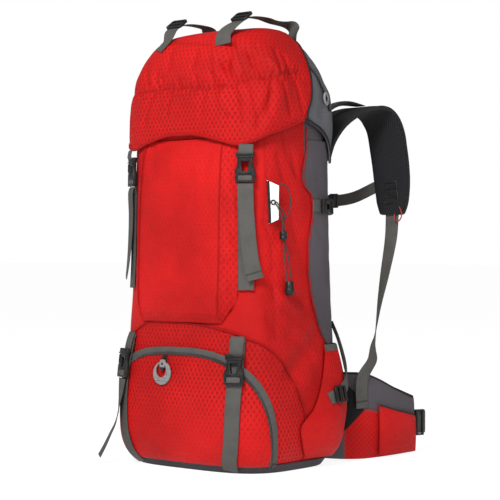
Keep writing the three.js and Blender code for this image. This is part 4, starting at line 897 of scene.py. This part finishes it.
for side, sign in (("r", 1), ("l", -1)):
    kept = [i for i in range(0, len(shares), 4) if edges[i] < 0.98]
    line = [(sign * edges[i], lid_level(np.array(edges[i]), shares[i]) / height, 0.9) for i in kept]
    finish(on_skin("lid_binding_" + side, lid, line, 0.0036, 0.0018, over=5), black_tape, "webbing")
# the black lid_ear_edge tape along the grey rear's hem is partly an edge tape, partly painted shade standing for the
# shaded underside of the hem
for name, low, high, paint, slot in (("lid_hem", -.49, .49, piping, "red_cloth"), ("lid_ear_edge_r", .495, .7, black_tape, "webbing"),
                                     ("lid_ear_edge_l", -.7, -.495, black_tape, "webbing")):
    line = [(u, float(read(hem, np.array(abs(u)), 1)) + 0.0035, 0.7) for u in np.linspace(low, high, 60)]
    finish(on_skin(name, lid, line, 0.0042, 0.0018, over=5, steps=220), paint, slot)
zip_line = [(.565, .905, .9), (.6, .88, 1.1), (.625, .855, 1.2), (.64, .83, 1.3), (.648, .805, 1.3)]
finish(on_skin("lid_zip", lid, zip_line, 0.0075, 0.0012, over=5), black_tape, "black_plastic")
finish(on_skin("lid_zip_coil", lid, [(u, h, p + 0.9) for u, h, p in zip_line], 0.0034, 0.0013, over=7), coil, "black_plastic")
loop = weld("lid_zip_puller", [moulded("loop", round_line(0.0085, 40, 1.3), [round_line(0.0048, 32, 1.3)], 0.003, 0.001)])
finish(set_on(loop, lid, .625, .832, 0.0019), rubber, "puller", "lid_puller")


# ---------------------------------------------------------------- straps on the front
# Grey 25 mm webbing with black side release buckles: a pair that holds the lid down, and a
# pair over the lower door, sewn into the base. The ends are folded back and hang as tails.
web, web_thick = 0.025, 0.0016
buckle_rows = [(-.5, .42), (-.47, .47), (-.1, .48), (.06, .36), (.3, .36), (.38, .44), (.47, .44), (.5, .4)]


def side_buckle(name, web_size):
    """A side release buckle: a socket with a window, the prongs' sides in its waist, and a webbing bar."""
    wide, long, thick = 0.033 * web_size / web, 0.047 * web_size / web, 0.008 * web_size / web
    right = [(half * wide, at * long) for at, half in buckle_rows]
    left = [(-x, y) for x, y in reversed(right)]
    window = [(-.12 * wide, -.14 * long), (.12 * wide, -.14 * long), (.19 * wide, .2 * long), (-.19 * wide, .2 * long)]
    slot = [(-.37 * wide, -.4 * long), (.37 * wide, -.4 * long), (.37 * wide, -.29 * long), (-.37 * wide, -.29 * long)]
    body = moulded(name, right + left, [window, slot], thick * 0.8, 0.0013)
    parts = [body]
    rim = [(-.4 * wide, .31 * long), (.4 * wide, .31 * long), (.41 * wide, .36 * long), (-.41 * wide, .36 * long)]
    parts.append(moulded("rim", rim, (), thick * 0.2, 0.0004, thick * 0.78))
    for level in (-.2, -.235):
        rib = [(-.33 * wide, level * long), (.33 * wide, level * long), (.33 * wide, (level + .015) * long), (-.33 * wide, (level + .015) * long)]
        parts.append(moulded("rib", rib, (), thick * 0.14, 0.0003, thick * 0.78))
    for s in (-1, 1):
        prong = [(s * .3 * wide, -.02 * long), (s * .355 * wide, .02 * long), (s * .355 * wide, .26 * long), (s * .3 * wide, .29 * long)]
        parts.append(moulded("prong", prong, (), thick * 0.2, 0.0004, thick * 0.77))
    frame_line = [(-.34 * wide, .4 * long), (.34 * wide, .4 * long), (.34 * wide, .45 * long), (-.34 * wide, .45 * long)]
    parts.append(moulded("bar", frame_line, (), thick * 0.2, 0.0004, thick * 0.77))
    return weld(name, parts)


def ladder_lock(name, web_size):
    """A ladder lock: a frame with two slots and a raised lip to pull on."""
    half, long, cut, inside = web_size / 2 + 0.0035, 0.012, 0.003, web_size / 2 + 0.0005
    line = [(-half + cut, -long), (half - cut, -long), (half, -long + cut), (half, long - cut), (half - cut, long),
            (-half + cut, long), (-half, long - cut), (-half, -long + cut)]
    low = [(-inside, -long + .004), (inside, -long + .004), (inside, -.0025), (-inside, -.0025)]
    high = [(-inside, .0025), (inside, .0025), (inside, long - .004), (-inside, long - .004)]
    lip = [(-half * .8, -long + .0004), (half * .8, -long + .0004), (half * .7, -long + .003), (-half * .7, -long + .003)]
    return weld(name, [moulded(name, line, [low, high], 0.0046, 0.001), moulded("lip", lip, (), 0.0012, 0.0004, 0.0042)])


front_rows = [(.262, .402, 4), (.262, .45, 4), (.262, .52, 4.3), (.262, .58, 4.8), (.262, .6255, 5.4), (.262, .6335, 8.2),
              (.263, .6255, 10.8), (.265, .57, 9.4), (.271, .51, 9.4), (.28, .46, 10.5), (.292, .425, 12)]
lower_rows = [(.213, .011, 4.7), (.214, .02, 6.2), (.216, .036, 7.9), (.221, .06, 8.9), (.225, .1, 9.3), (.228, .15, 9.2),
              (.232, .2, 8.1), (.235, .25, 5.9), (.236, .296, 1.9)]


def strap_path(skin, rows):
    rows = np.array(rows, float)
    points = skin.point(rows[:, 0], rows[:, 1] * height, rows[:, 2] / 1000)
    across, up, out = skin.frame(rows[:, 0], rows[:, 1] * height)
    return points, across, out


path, across, out = strap_path(bag, front_rows)
front_strap = band("front_strap_web_r", path, across, web, web_thick, steps=150)
finish(front_strap, webbing, "webbing", "front_strap_r")
finish(copy_left(front_strap, "front_strap_web_l"), webbing, "webbing", "front_strap_l")
lower_strap = on_skin("lower_strap_web_r", bag, lower_rows, web, web_thick)
finish(lower_strap, webbing, "webbing", "lower_strap_r")
finish(copy_left(lower_strap, "lower_strap_web_l"), webbing, "webbing", "lower_strap_l")
for name, around, level, proud in (("front_buckle", .262, .6692, .0053), ("lower_buckle", .233, .229, .0096)):
    buckle = set_on(side_buckle(name + "_moulded_r", web), bag, around, level, proud)
    finish(buckle, plastic, "black_plastic", name + "_r")
    finish(copy_left(buckle, name + "_moulded_l"), plastic, "black_plastic", name + "_l")

# the webbing folded through each buckle's bar, and the tabs sewn to the lid and the arch
for name, around, level, proud, tall in (("front", .262, .6462, 11.6, .009), ("lower", .233, .2067, 16.2, .009)):
    loop = on_skin(name + "_buckle_web_r", bag, [(around, level - tall / 2 / height, proud - 1.2), (around, level, proud),
                                                 (around, level + tall / 2 / height, proud - 1.2)], 0.0225, 0.0018)
    finish(loop, webbing, "webbing")
    finish(copy_left(loop, name + "_buckle_web_l"), webbing, "webbing")
for name, skin, rows in (("front", lid, [(.262, .6985, 1.0), (.262, .7035, 3.2), (.262, .711, 2.6), (.262, .7195, 0.9)]),
                         ("lower", bag, [(.2352, .262, 8.3), (.2355, .273, 7.6), (.236, .286, 5.8), (.2365, .301, 2.6)])):
    tab = on_skin(name + "_tab_r", skin, rows, 0.0225, 0.0018)
    finish(tab, webbing, "webbing")
    finish(copy_left(tab, name + "_tab_l"), webbing, "webbing")

# the left lower strap's spare webbing hangs on edge
foot = bag.point(-.2325, .1942 * height, 0.013).reshape(3)
across = bag.frame(-.2325, .1942 * height)[0].reshape(3)
drop = [(0, 0, 0), (.11, .035, .35), (.2, .058, .7), (.28, .08, .9), (.46, .104, .75), (.75, .126, .6), (1.12, .154, .48), (1.48, .178, .42)]
path = [foot + np.array((-.77, -.64, 0)) * o * web - np.array((0, 0, d * height)) for o, d, t in drop]
turns = [across * (1 - t) + np.array((.64, -.77, 0)) * t for o, d, t in drop]
finish(band("lower_tail_web", path, turns, web, web_thick), webbing, "webbing", "lower_tail")


# ---------------------------------------------------------------- straps over the lid and the sides
# The same webbing over the top, through a ladder lock, and narrower webbing with a buckle
# across each grey side and round each pocket.
low = lid.point(.19, .943 * height, 0.0017).reshape(3)
rise = lid.point(.187, .965 * height, 0.0042).reshape(3)
end = lid.point(.66, .966 * height, 0.0046).reshape(3)
path = [low, rise, (low[0], -.31 * depth, .998 * height), (low[0], -.2 * depth, 1.012 * height), (low[0], -.02 * depth, 1.016 * height),
        (low[0], .1 * depth, 1.012 * height), (low[0] + (end[0] - low[0]) * .6, .2 * depth, height), end]
across = [lid.frame(.19, .943 * height)[0].reshape(3), lid.frame(.187, .965 * height)[0].reshape(3)] + [np.array((1, 0, 0))] * 5 + [
    -lid.frame(.66, .966 * height)[0].reshape(3)]
top_strap = band("top_strap_web_r", path, across, web, web_thick)
finish(top_strap, webbing, "webbing", "top_strap_r")
finish(copy_left(top_strap, "top_strap_web_l"), webbing, "webbing", "top_strap_l")
tilt, x = 0.62, float(lid.point(.19, .943 * height, 0.0022).reshape(3)[0])
lock = set_at(ladder_lock("top_buckle_moulded_r", web), (x, -.255 * depth, 1.0095 * height), (1, 0, 0), (0, math.cos(tilt), math.sin(tilt)))
finish(lock, plastic, "black_plastic", "top_buckle_r")
finish(copy_left(lock, "top_buckle_moulded_l"), plastic, "black_plastic", "top_buckle_l")

side_rows = [(.553, .589, 4.7), (.6, .589, 4.7), (.65, .588, 4.9), (.69, .586, 9), (.72, .584, 11), (.745, .583, 5.5)]
side_strap = on_skin("side_strap_web_r", bag, side_rows, 0.02, web_thick)
finish(side_strap, webbing, "webbing", "side_strap_r")
finish(copy_left(side_strap, "side_strap_web_l"), webbing, "webbing", "side_strap_l")
buckle = set_on(side_buckle("side_buckle_moulded_r", 0.02), bag, .628, .588, .0058, math.pi / 2)
finish(buckle, plastic, "black_plastic", "side_buckle_r")
finish(copy_left(buckle, "side_buckle_moulded_l"), plastic, "black_plastic", "side_buckle_l")
bar_tack = Paint("orange thread", Roughness=0.5)
tack_u, tack_v = bar_tack.flat()
bar_tack.feed("Base Color", bar_tack.blend((tack_v * 6000.0).sin().step(-0.5, 0.5), (0.35, 0.03, 0.012), (0.6, 0.08, 0.025)))
bar_tack.relief((tack_v * 6000.0).sin(), 0.0003)
tack = on_skin("bar_tack_r", bag, [(.7205, .577, 12.1), (.7205, .59, 12.1)], 0.0035, 0.0008)
finish(tack, bar_tack, "red_cloth")
finish(copy_left(tack, "bar_tack_l"), bar_tack, "red_cloth")


def pocket_frame(a, level):
    across = (side_pocket(np.array(a + .03), np.array(level), 0) - side_pocket(np.array(a - .03), np.array(level), 0)).reshape(3)
    rise = (side_pocket(np.array(a), np.array(level + .006), 0) - side_pocket(np.array(a), np.array(level - .006), 0)).reshape(3)
    across = across / np.linalg.norm(across)
    out = np.cross(across, rise)
    return across, out / np.linalg.norm(out)


path, outs = [], []
for a, level, lift in ((.2, .156, .0014), (.33, .162, .0016), (.45, .172, .002), (.6, .192, .004), (.74, .225, .007)):
    path.append(side_pocket(np.array(a), np.array(level), 0.002 + lift).reshape(3))
    outs.append(pocket_frame(a, level)[1])
for around, level, proud in ((.71, .285, .014), (.715, .325, .0046)):
    path.append(bag.point(around, level * height, proud).reshape(3))
    outs.append(bag.frame(around, level * height)[2].reshape(3))
across = np.cross(np.array(outs), np.gradient(np.array(path), axis=0))
pocket_strap = band("lower_side_strap_web_r", path, across, 0.02, web_thick)
finish(pocket_strap, webbing, "webbing", "lower_side_strap_r")
finish(copy_left(pocket_strap, "lower_side_strap_web_l"), webbing, "webbing", "lower_side_strap_l")
across, out = pocket_frame(.36, .164)
lock = set_at(ladder_lock("ladder_lock_moulded_r", 0.02), side_pocket(np.array(.36), np.array(.164), 0.0052).reshape(3),
              -np.cross(out, across), across)
finish(lock, plastic, "black_plastic", "ladder_lock_r")
finish(copy_left(lock, "ladder_lock_moulded_l"), plastic, "black_plastic", "ladder_lock_l")


# ---------------------------------------------------------------- back and shoulder pads
# Foam in black air mesh, bound at the edges: two long cushions on the back, and two curved
# shoulder pads with a slider, load lifters and a chest strap.
air_mesh = Paint("black air mesh", Roughness=0.85)
air_mesh.shader.inputs["Specular IOR Level"].default_value = 0.2
mesh_u, mesh_v = air_mesh.flat()
cells = (mesh_u * (2 * math.pi / 0.0042)).cos() * (mesh_v * (math.pi / 0.0036)).cos()
holes = cells.step(0.1, 0.5)
air_mesh.feed("Base Color", air_mesh.blend(holes, (0.016, 0.016, 0.018), (0.003, 0.003, 0.0035)))
air_mesh.relief(holes * -1.0, 0.0006)

a, b = np.meshgrid(np.linspace(0, 1, 120), np.linspace(0, 1, 140))
cushion = np.abs(np.sin(2 * math.pi * a)) ** 0.5
rounded = np.sin(math.pi * np.clip(.04 + .92 * b, 0, 1)) ** 0.35
channel = 1 - 0.35 * np.exp(-(((b * 6) % 1 - 0.5) / 0.09) ** 2)
z = (.215 + (.682 - .215) * b) * height
thick = 0.003 + 0.007 * cushion * rounded * channel
front_face, back_face = bag.point(.8 + .4 * a, z, seat + thick), bag.point(.8 + .4 * a, z, seat + 0 * a)
ring = lambda face: np.concatenate([face[0], face[1:, -1], face[-1, -2::-1], face[-2:0:-1, 0]])
back_pad = grid("back_cushion", front_face, np.stack([a * 0.19, z], axis=-1))
modify(back_pad, "SOLIDIFY", thickness=0.0026, offset=-1.0, use_even_offset=False)
finish(back_pad, air_mesh, "black_mesh", "back_pad")

back_y = float(bag.point(1.0, .7 * height).reshape(3)[1])
pad_path = [(.287, .029, .7, .98), (.29, .11, .742, 1), (.306, .31, .79, 1), (.345, .6, .822, 1), (.392, .82, .818, 1),
            (.424, .93, .79, 1), (.443, .98, .73, 1), (.459, 1, .655, .96), (.465, .995, .6, .82), (.466, .985, .575, .62)]


def harness(x, behind, level):
    return np.array((x * width, back_y + behind * 0.158, level * height))


path = [harness(x, d, h) for x, d, h, w in pad_path]
across = [(1, .12 if d > .7 else 0, 0) for x, d, h, w in pad_path]
keys = [(i / 9, row[3]) for i, row in enumerate(pad_path)]
shares = np.linspace(0, 1, 110)
centre, turned = curve_through(path, shares), curve_through(across, shares)
ahead = np.gradient(centre, axis=0)
ahead /= np.linalg.norm(ahead, axis=1)[:, None]
turned -= ahead * (turned * ahead).sum(axis=1)[:, None]
turned /= np.linalg.norm(turned, axis=1)[:, None]
up = np.cross(ahead, turned)
angle = np.linspace(0, 2 * math.pi, 49)[:-1] - math.pi / 2
bow = lambda value, power: np.sign(value) * np.abs(value) ** power
wide = 0.066 * read(keys, shares, 1)
run = np.concatenate([[0], np.cumsum(np.linalg.norm(np.diff(centre, axis=0), axis=1))])
ring_u, ring_v = bow(np.cos(angle), 0.35), bow(np.sin(angle), 0.6)
puff = 1 - 0.06 * (1 + np.cos(run[:, None] * 2 * math.pi / 0.06)) * np.abs(ring_v[None, :])
rings = (centre[:, None, :] + turned[:, None, :] * (ring_u[None, :, None] * wide[:, None, None] / 2)
         + up[:, None, :] * (ring_v[None, :] * puff * 0.006)[..., None])
ring_uv = np.concatenate([ring_u, ring_u[:1]])
uv = np.stack([ring_uv[None, :] * wide[:, None] / 2, np.broadcast_to(run[:, None], (len(run), 49))], axis=-1)
pad = grid("shoulder_cushion_r", rings, uv, around=True, ends=("first", "last"))
for side in ("r", "l"):
    piece = pad if side == "r" else copy_left(pad, "shoulder_cushion_l")
    finish(piece, air_mesh, "black_mesh", "shoulder_pad_" + side)
for name, sign in (("outer", 1), ("inner", -1)):
    edge = centre + turned * (sign * (wide / 2 + 0.0004))[:, None]
    binding = band("pad_binding_" + name + "_r", edge[::6], up[::6], 0.0075, 0.0026, over=7)
    finish(binding, black_tape, "webbing")
    finish(copy_left(binding, "pad_binding_" + name + "_l"), black_tape, "webbing")

spot = 93
facing = -1.0 if up[spot][1] > 0 else 1.0
for level, wide in ((spot, 0.02), (spot - 5, 0.016)):
    rung = set_at(ladder_lock("pad_slider_%d_r" % level, wide), centre[level] + up[level] * facing * 0.0066,
                  turned[level] * facing, ahead[level])
    finish(rung, plastic, "black_plastic")
    finish(copy_left(rung, "pad_slider_%d_l" % level), plastic, "black_plastic")
thread = Paint("dark red cord", Roughness=0.6)
thread.feed("Base Color", thread.blend(thread.noise(700.0), (0.2, 0.012, 0.01), (0.36, 0.03, 0.02)))
bow_line = [centre[103] + turned[103] * x + up[103] * facing * y + np.array((0, 0, z)) for x, y, z in (
    (.016, .006, .004), (.021, .0085, -.004), (.022, .01, -.014), (.016, .0105, -.021), (.009, .009, -.018), (.007, .0065, -.008))]
thread_loop = tube("pad_thread_r", curve_through(bow_line, np.linspace(0, 1, 40)), 0.0011, 8)
finish(thread_loop, thread, "red_cloth")
finish(copy_left(thread_loop, "pad_thread_l"), thread, "red_cloth")

lifter = band("load_lifter_web_r", [harness(.33, .0165, .802), harness(.335, .2, .823), harness(.345, .42, .837), harness(.36, .68, .8348)],
              [(.5, 0, .85), (.6, 0, .7), (.9, 0, .3), (1, 0, 0)], 0.022, web_thick)
finish(lifter, webbing, "webbing", "load_lifter_r")
finish(copy_left(lifter, "load_lifter_web_l"), webbing, "webbing", "load_lifter_l")

end = harness(.459, .975, .642)
end[0] -= 0.033 - 0.0011
sag = .03 * height
half = [end, np.array((.5 * end[0], end[1] + .004, end[2] - .8 * sag)), np.array((0, end[1] + .006, end[2] - sag))]
path = half + [p * (-1, 1, 1) for p in half[1::-1]]
chest = band("chest_strap_web", path, [(0, 0, 1)] * 5, 0.02, web_thick, steps=70)
clasp = set_at(side_buckle("chest_clasp", 0.02), (0, end[1] + .009, end[2] - sag), (0, 0, 1), (-1, 0, 0))
finish(chest, webbing, "webbing", "sternum_strap")
finish(clasp, plastic, "black_plastic")

foot = harness(.466, .985, .575) - np.array((0, 0, .0007))


# ---------------------------------------------------------------- hip belt
# Padded wings of grey cloth that sweep round from the lower back, each with a small zipped
# red pocket, a black bound edge and a wide webbing end in a loop.
wing_path = [(.08, 0, .9), (.24, 0, .96), (.37, .025, 1), (.455, .09, 1), (.505, .2, .99), (.527, .37, .93), (.54, .64, .8), (.543, 1, .66)]
wing_back = float(bag.point(1.0, .1 * height).reshape(3)[1]) + seat + 0.006
wing_line = [(x * width, wing_back + d * 0.168, 0) for x, d, t in wing_path]
wing_tops = [(i / 7, t) for i, (x, d, t) in enumerate(wing_path)]


def wing(a, h, out):
    a, h, out = np.broadcast_arrays(np.asarray(a, float), np.asarray(h, float), np.asarray(out, float))
    flat = a.ravel()
    here = curve_through(wing_line, flat)
    ahead = curve_through(wing_line, np.clip(flat + .004, 0, 1)) - curve_through(wing_line, np.clip(flat - .004, 0, 1))
    side = np.cross(ahead, (0, 0, 1))
    side /= np.linalg.norm(side, axis=1)[:, None]
    points = (here + side * out.ravel()[:, None]).reshape(a.shape + (3,))
    points[..., 2] = 0.002 + (read(wing_tops, a, 1) * 0.142 - 0.002) * h
    return points


shares = np.linspace(0, 1, 90)
heights = np.linspace(0, 1, 26)
a, h = np.meshgrid(shares, heights)
thick = 0.006 * (1 - .45 * np.abs(2 * h - 1) ** 5) * (1 - .4 * np.clip(a - .85, 0, 1) / .15)
thick = thick * (1 - 0.25 * np.exp(-((h - 0.7) / 0.03) ** 2) * (a > .3))
outer, inner = wing(a, h, thick), wing(a, h, -thick)
rings = np.concatenate([outer, inner[::-1]], axis=0).transpose(1, 0, 2)
run = shares * 0.27
ring_h = np.concatenate([heights, heights[::-1], heights[:1]])
uv = np.stack([np.broadcast_to(ring_h[None, :] * 0.13, (90, 53)), np.broadcast_to(run[:, None], (90, 53))], axis=-1)
wing_cloth = grid("hip_wing_cloth_r", rings, uv, around=True, ends=("first", "last"), marks={
    "seam": np.exp(-((np.concatenate([heights, heights + 9]) - .6) / .02) ** 2)[None, :] * np.clip((shares[:, None] - .4) / .02, 0, 1),
    "grey": 1 - np.clip((shares[:, None] - .4) / .02, 0, 1) * np.clip((.6 - np.concatenate([heights, heights + 9])) / .03, 0, 1)[None, :],
    "dots": np.full((90, 52), .5)})
select(wing_cloth)
bpy.ops.object.mode_set(mode="EDIT")
bpy.ops.mesh.select_all(action="SELECT")
bpy.ops.mesh.normals_make_consistent(inside=False)
bpy.ops.object.mode_set(mode="OBJECT")
bpy.ops.object.shade_smooth_by_angle(angle=math.radians(55))
for side in ("r", "l"):
    piece = wing_cloth if side == "r" else copy_left(wing_cloth, "hip_wing_cloth_l")
    finish(piece, red_cloth, "grey_cloth", "hip_wing_" + side)
line = np.linspace(0.02, 0.99, 30)
binding = band("wing_binding_r", wing(line, 1.0, 0.0) + (0, 0, 0.0004), wing(line, 1.0, 0.004) - wing(line, 1.0, -0.004), 0.0085, 0.004, over=7)
finish(binding, black_tape, "webbing")
finish(copy_left(binding, "wing_binding_l"), black_tape, "webbing")

a, b = np.meshgrid(np.linspace(0, 1, 60), np.linspace(0, 1, 44))
swell = 0.007 * (np.sin(math.pi * (.06 + .88 * a)) * np.sin(math.pi * (.1 + .82 * b))) ** .6
outer = wing(.72 + .265 * a, .02 + .64 * b, 0.006 + seat + 0.002 + swell)
pouch = grid("hip_pocket_cloth_r", outer, np.stack([a * 0.08, b * 0.07], axis=-1), marks={
    "dots": 0 * a, "seam": np.exp(-(np.minimum(np.minimum(a, 1 - a) * .08, np.minimum(b, 1 - b) * .07) / .002) ** 2)})
thicken(pouch, 0.002)
finish(pouch, red_cloth, "red_cloth", "hip_pocket_r")
finish(copy_left(pouch, "hip_pocket_cloth_l"), red_cloth, "red_cloth", "hip_pocket_l")
across_line = np.linspace(.725, .98, 16)
for name, h, wide, paint in (("hip_zip", .6, .0045, coil), ("hip_zip_tape", .655, .006, black_tape)):
    lift = 0.0105 if name == "hip_zip" else 0.0092
    path = wing(across_line, h, lift)
    piece = band(name + "_r", path, wing(across_line, h + .02, lift) - path, wide, 0.0014, over=5)
    finish(piece, paint, "black_plastic")
    finish(copy_left(piece, name + "_l"), paint, "black_plastic")

tip = curve_through(wing_line, [1.0])[0]
tip_level = .36 * .142
path = [(tip[0] + x / 1000, tip[1] + y / 1000, tip_level) for x, y in ((0, .9), (5, 14), (6, 27), (-2, 36), (-12, 31), (-15, 17))]
hip_web = band("hip_strap_web_r", path, [(0, 0, 1)] * 6, 0.038, web_thick, over=13)
finish(hip_web, webbing, "webbing", "hip_strap_r")
finish(copy_left(hip_web, "hip_strap_web_l"), webbing, "webbing", "hip_strap_l")
ring_line = [(-.022, -.008), (.022, -.008), (.022, .008), (-.022, .008)]
ring_hole = [(-.019, -.0045), (.019, -.0045), (.019, .0045), (-.019, .0045)]
adjuster = weld("hip_buckle_moulded_r", [moulded("ring", ring_line, [ring_hole], 0.005, 0.0012)])
set_at(adjuster, (tip[0] + .0054, tip[1] + .01, tip_level), (0, 0, 1), (-.35, -.94, 0))
finish(adjuster, plastic, "black_plastic", "hip_buckle_r")
finish(copy_left(adjuster, "hip_buckle_moulded_l"), plastic, "black_plastic", "hip_buckle_l")

# the webbing from each shoulder pad down to a triangle of coated cloth at the bag's corner
over, end = wing(.56, .95, .0102).reshape(3), wing(.56, .6, .0086).reshape(3)


def below(x, k, level):
    return np.array((x * width, foot[1] + (over[1] - foot[1]) * k, level * height))


path = [foot, below(.468, .04, .52), below(.475, .22, .435), below(.482, .38, .365), below(.51, .62, .275), below(.553, .84, .232), over, end]
across = [(1, .1, 0), (1, 0, 0), (.95, -.3, 0), (.79, -.61, 0), (.47, -.88, 0), (.05, -1, 0), (-.23, -.97, 0), (-.23, -.97, 0)]
shoulder_web = band("shoulder_webbing_web_r", path, across, web, web_thick)
finish(shoulder_web, webbing, "webbing", "shoulder_webbing_r")
finish(copy_left(shoulder_web, "shoulder_webbing_web_l"), webbing, "webbing", "shoulder_webbing_l")
patch_cloth = nylon("black coated cloth", (0.014, 0.014, 0.015), (0.008, 0.008, 0.009), dotted=False)
a, b = np.meshgrid(np.linspace(0, 1, 30), np.linspace(0, 1, 16))
along_wing, up_wing = .34 + .24 * a, .62 + (2 * b - 1) * (.34 * (1 - a) + .045)
patch = grid("anchor_patch_r", wing(along_wing, up_wing, 0.0074), np.stack([along_wing * 0.27, up_wing * 0.13], axis=-1))
thicken(patch, 0.0012)
finish(patch, patch_cloth, "base_cloth")
finish(copy_left(patch, "anchor_patch_l"), patch_cloth, "base_cloth")


# ---------------------------------------------------------------- pole holder tabs, locks and ends
# A stiff white tab with a black edge tape and an eyelet on each side, and the moulded lock and
# cord end on the elastic.
white = Paint("white coated cloth", Roughness=0.45)
white.feed("Base Color", white.blend(white.noise(60.0).step(0.3, 0.8), (0.68, 0.68, 0.67), (0.8, 0.8, 0.78)))
white.relief(white.noise(500.0), 0.0001)
tab_left, tab_right = (.332, .642, .34, .546), (.365, .63, .363, .556)


def tab_point(a, b, lift):
    (lu, lt, lb, ll), (ru, rt, rb, rl) = tab_left, tab_right
    low_around, high_around = lb + (rb - lb) * a, lu + (ru - lu) * a
    low_level, high_level = ll + (rl - ll) * a, lt + (rt - lt) * a
    return bag.point(low_around + (high_around - low_around) * b, (low_level + (high_level - low_level) * b) * height,
                     seat - 0.0006 + 0.009 * a + lift)


a, b = np.meshgrid(np.linspace(0, 1, 16), np.linspace(0, 1, 40))
tab = grid("pole_tab_cloth_r", tab_point(a, b, 0.0014))
thicken(tab, 0.0014)
finish(tab, white, "white_tab", "pole_tab_r")
finish(copy_left(tab, "pole_tab_cloth_l"), white, "white_tab", "pole_tab_l")
line = np.linspace(0.01, 0.99, 14)
tape = band("tab_tape_r", tab_point(0.08 + 0 * line, line, 0.0021), tab_point(.3 + 0 * line, line, 0.0021) - tab_point(0 * line, line, 0.0021), 0.004, 0.0012, over=5)
finish(tape, black_tape, "webbing")
finish(copy_left(tape, "tab_tape_l"), black_tape, "webbing")
eyelet = weld("tab_eyelet_r", [moulded("eyelet", round_line(0.0042, 28), [round_line(0.0021, 20)], 0.0014, 0.0004)])
place = [tab_point(np.array(x), np.array(y), 0.0014).reshape(3) for x, y in ((.5, .5), (.6, .5), (.5, .52))]
set_at(eyelet, place[0], place[1] - place[0], place[2] - place[0])
finish(eyelet, plastic, "black_plastic")
finish(copy_left(eyelet, "tab_eyelet_l"), plastic, "black_plastic")


def turned_part(name, profile, sides=32):
    """A part turned about its upright axis from a closed profile of (radius, height)."""
    profile = np.array(profile, float)
    turn = np.arange(sides) * 2 * math.pi / sides
    rings = np.stack([profile[:, None, 0] * np.cos(turn), profile[:, None, 0] * np.sin(turn),
                      np.broadcast_to(profile[:, None, 1], (len(profile), sides))], axis=-1)
    piece = grid(name, rings, around=True)
    modify(piece, "WELD", merge_threshold=0.00002)
    select(piece)
    bpy.ops.object.mode_set(mode="EDIT")
    bpy.ops.mesh.select_all(action="SELECT")
    bpy.ops.mesh.normals_make_consistent(inside=False)
    bpy.ops.object.mode_set(mode="OBJECT")
    bpy.ops.object.shade_smooth_by_angle(angle=math.radians(40))
    return piece


def on_cord(piece, around, level, proud):
    across, up, out = [v.reshape(3) for v in bag.frame(around, level * height)]
    return set_at(piece, bag.point(around, level * height, proud).reshape(3), across, -out)


lock = turned_part("cord_lock_moulded_r", [(.0044, -.0065), (.0053, -.0065), (.006, -.0056), (.006, -.0022), (.0056, -.0016), (.0056, .0012),
                                          (.006, .002), (.006, .0056), (.0053, .0065), (.0044, .0065), (.0044, -.0065)])
finish(on_cord(lock, .3855, .521, .008), plastic, "black_plastic", "cord_lock_r")
finish(copy_left(lock, "cord_lock_moulded_l"), plastic, "black_plastic", "cord_lock_l")
tip_part = turned_part("cord_end_moulded_r", [(0, -.021), (.0045, -.021), (.0064, -.0198), (.0073, -.0175), (.0073, -.012), (.0069, -.0112),
                                             (.0069, -.0095), (.0068, -.0088), (.0063, -.0004), (.006, 0), (.0054, 0), (.0054, -.017), (0, -.018)])
finish(on_cord(tip_part, .4045, .42, .010), plastic, "black_plastic", "cord_end_r")
finish(copy_left(tip_part, "cord_end_moulded_l"), plastic, "black_plastic", "cord_end_l")


# ---------------------------------------------------------------- studio
# A pale floor that runs into a white background, a big soft light above and in front, and a
# weaker one from the right.
floor_mesh = bpy.data.meshes.new("floor")
floor_mesh.from_pydata([(-30, -30, 0), (30, -30, 0), (30, 30, 0), (-30, 30, 0)], [], [(0, 1, 2, 3)])
floor = bpy.data.objects.new("floor", floor_mesh)
bpy.context.collection.objects.link(floor)
paper = Paint("white paper", Roughness=0.9)
paper.shader.inputs["Specular IOR Level"].default_value = 0.1
paper.feed("Base Color", (0.28, 0.28, 0.28))
paper.feed("Emission Color", (1.0, 1.0, 1.0))
paper.feed("Emission Strength", 0.885)
floor.data.materials.append(paper.material)

world = bpy.context.scene.world or bpy.data.worlds.new("world")
bpy.context.scene.world = world
world.use_nodes = True
sky = world.node_tree
sky.nodes["Background"].inputs["Color"].default_value = (1, 1, 1, 1)
sky.nodes["Background"].inputs["Strength"].default_value = 0.3
seen = sky.nodes.new("ShaderNodeBackground")
seen.inputs["Color"].default_value, seen.inputs["Strength"].default_value = (1, 1, 1, 1), 1.0
path_node, mixed = sky.nodes.new("ShaderNodeLightPath"), sky.nodes.new("ShaderNodeMixShader")
sky.links.new(path_node.outputs["Is Camera Ray"], mixed.inputs[0])
sky.links.new(sky.nodes["Background"].outputs[0], mixed.inputs[1])
sky.links.new(seen.outputs[0], mixed.inputs[2])
sky.links.new(mixed.outputs[0], sky.nodes["World Output"].inputs["Surface"])


def soft_light(name, where, aim, size, power):
    lamp = bpy.data.lights.new(name, "AREA")
    lamp.shape, lamp.size, lamp.energy = "SQUARE", size, power
    holder = bpy.data.objects.new(name, lamp)
    holder.location = where
    holder.rotation_euler = (Vector(aim) - Vector(where)).to_track_quat("-Z", "Y").to_euler()
    bpy.context.collection.objects.link(holder)


soft_light("front light", (0.75, -2.1, 2.1), (0, 0, 0.42), 0.8, 82)
soft_light("right light", (2.3, -0.9, 1.2), (0, 0, 0.35), 1.2, 15)
bpy.context.scene.view_settings.view_transform = "Standard"
bpy.context.scene.view_settings.look = "None"
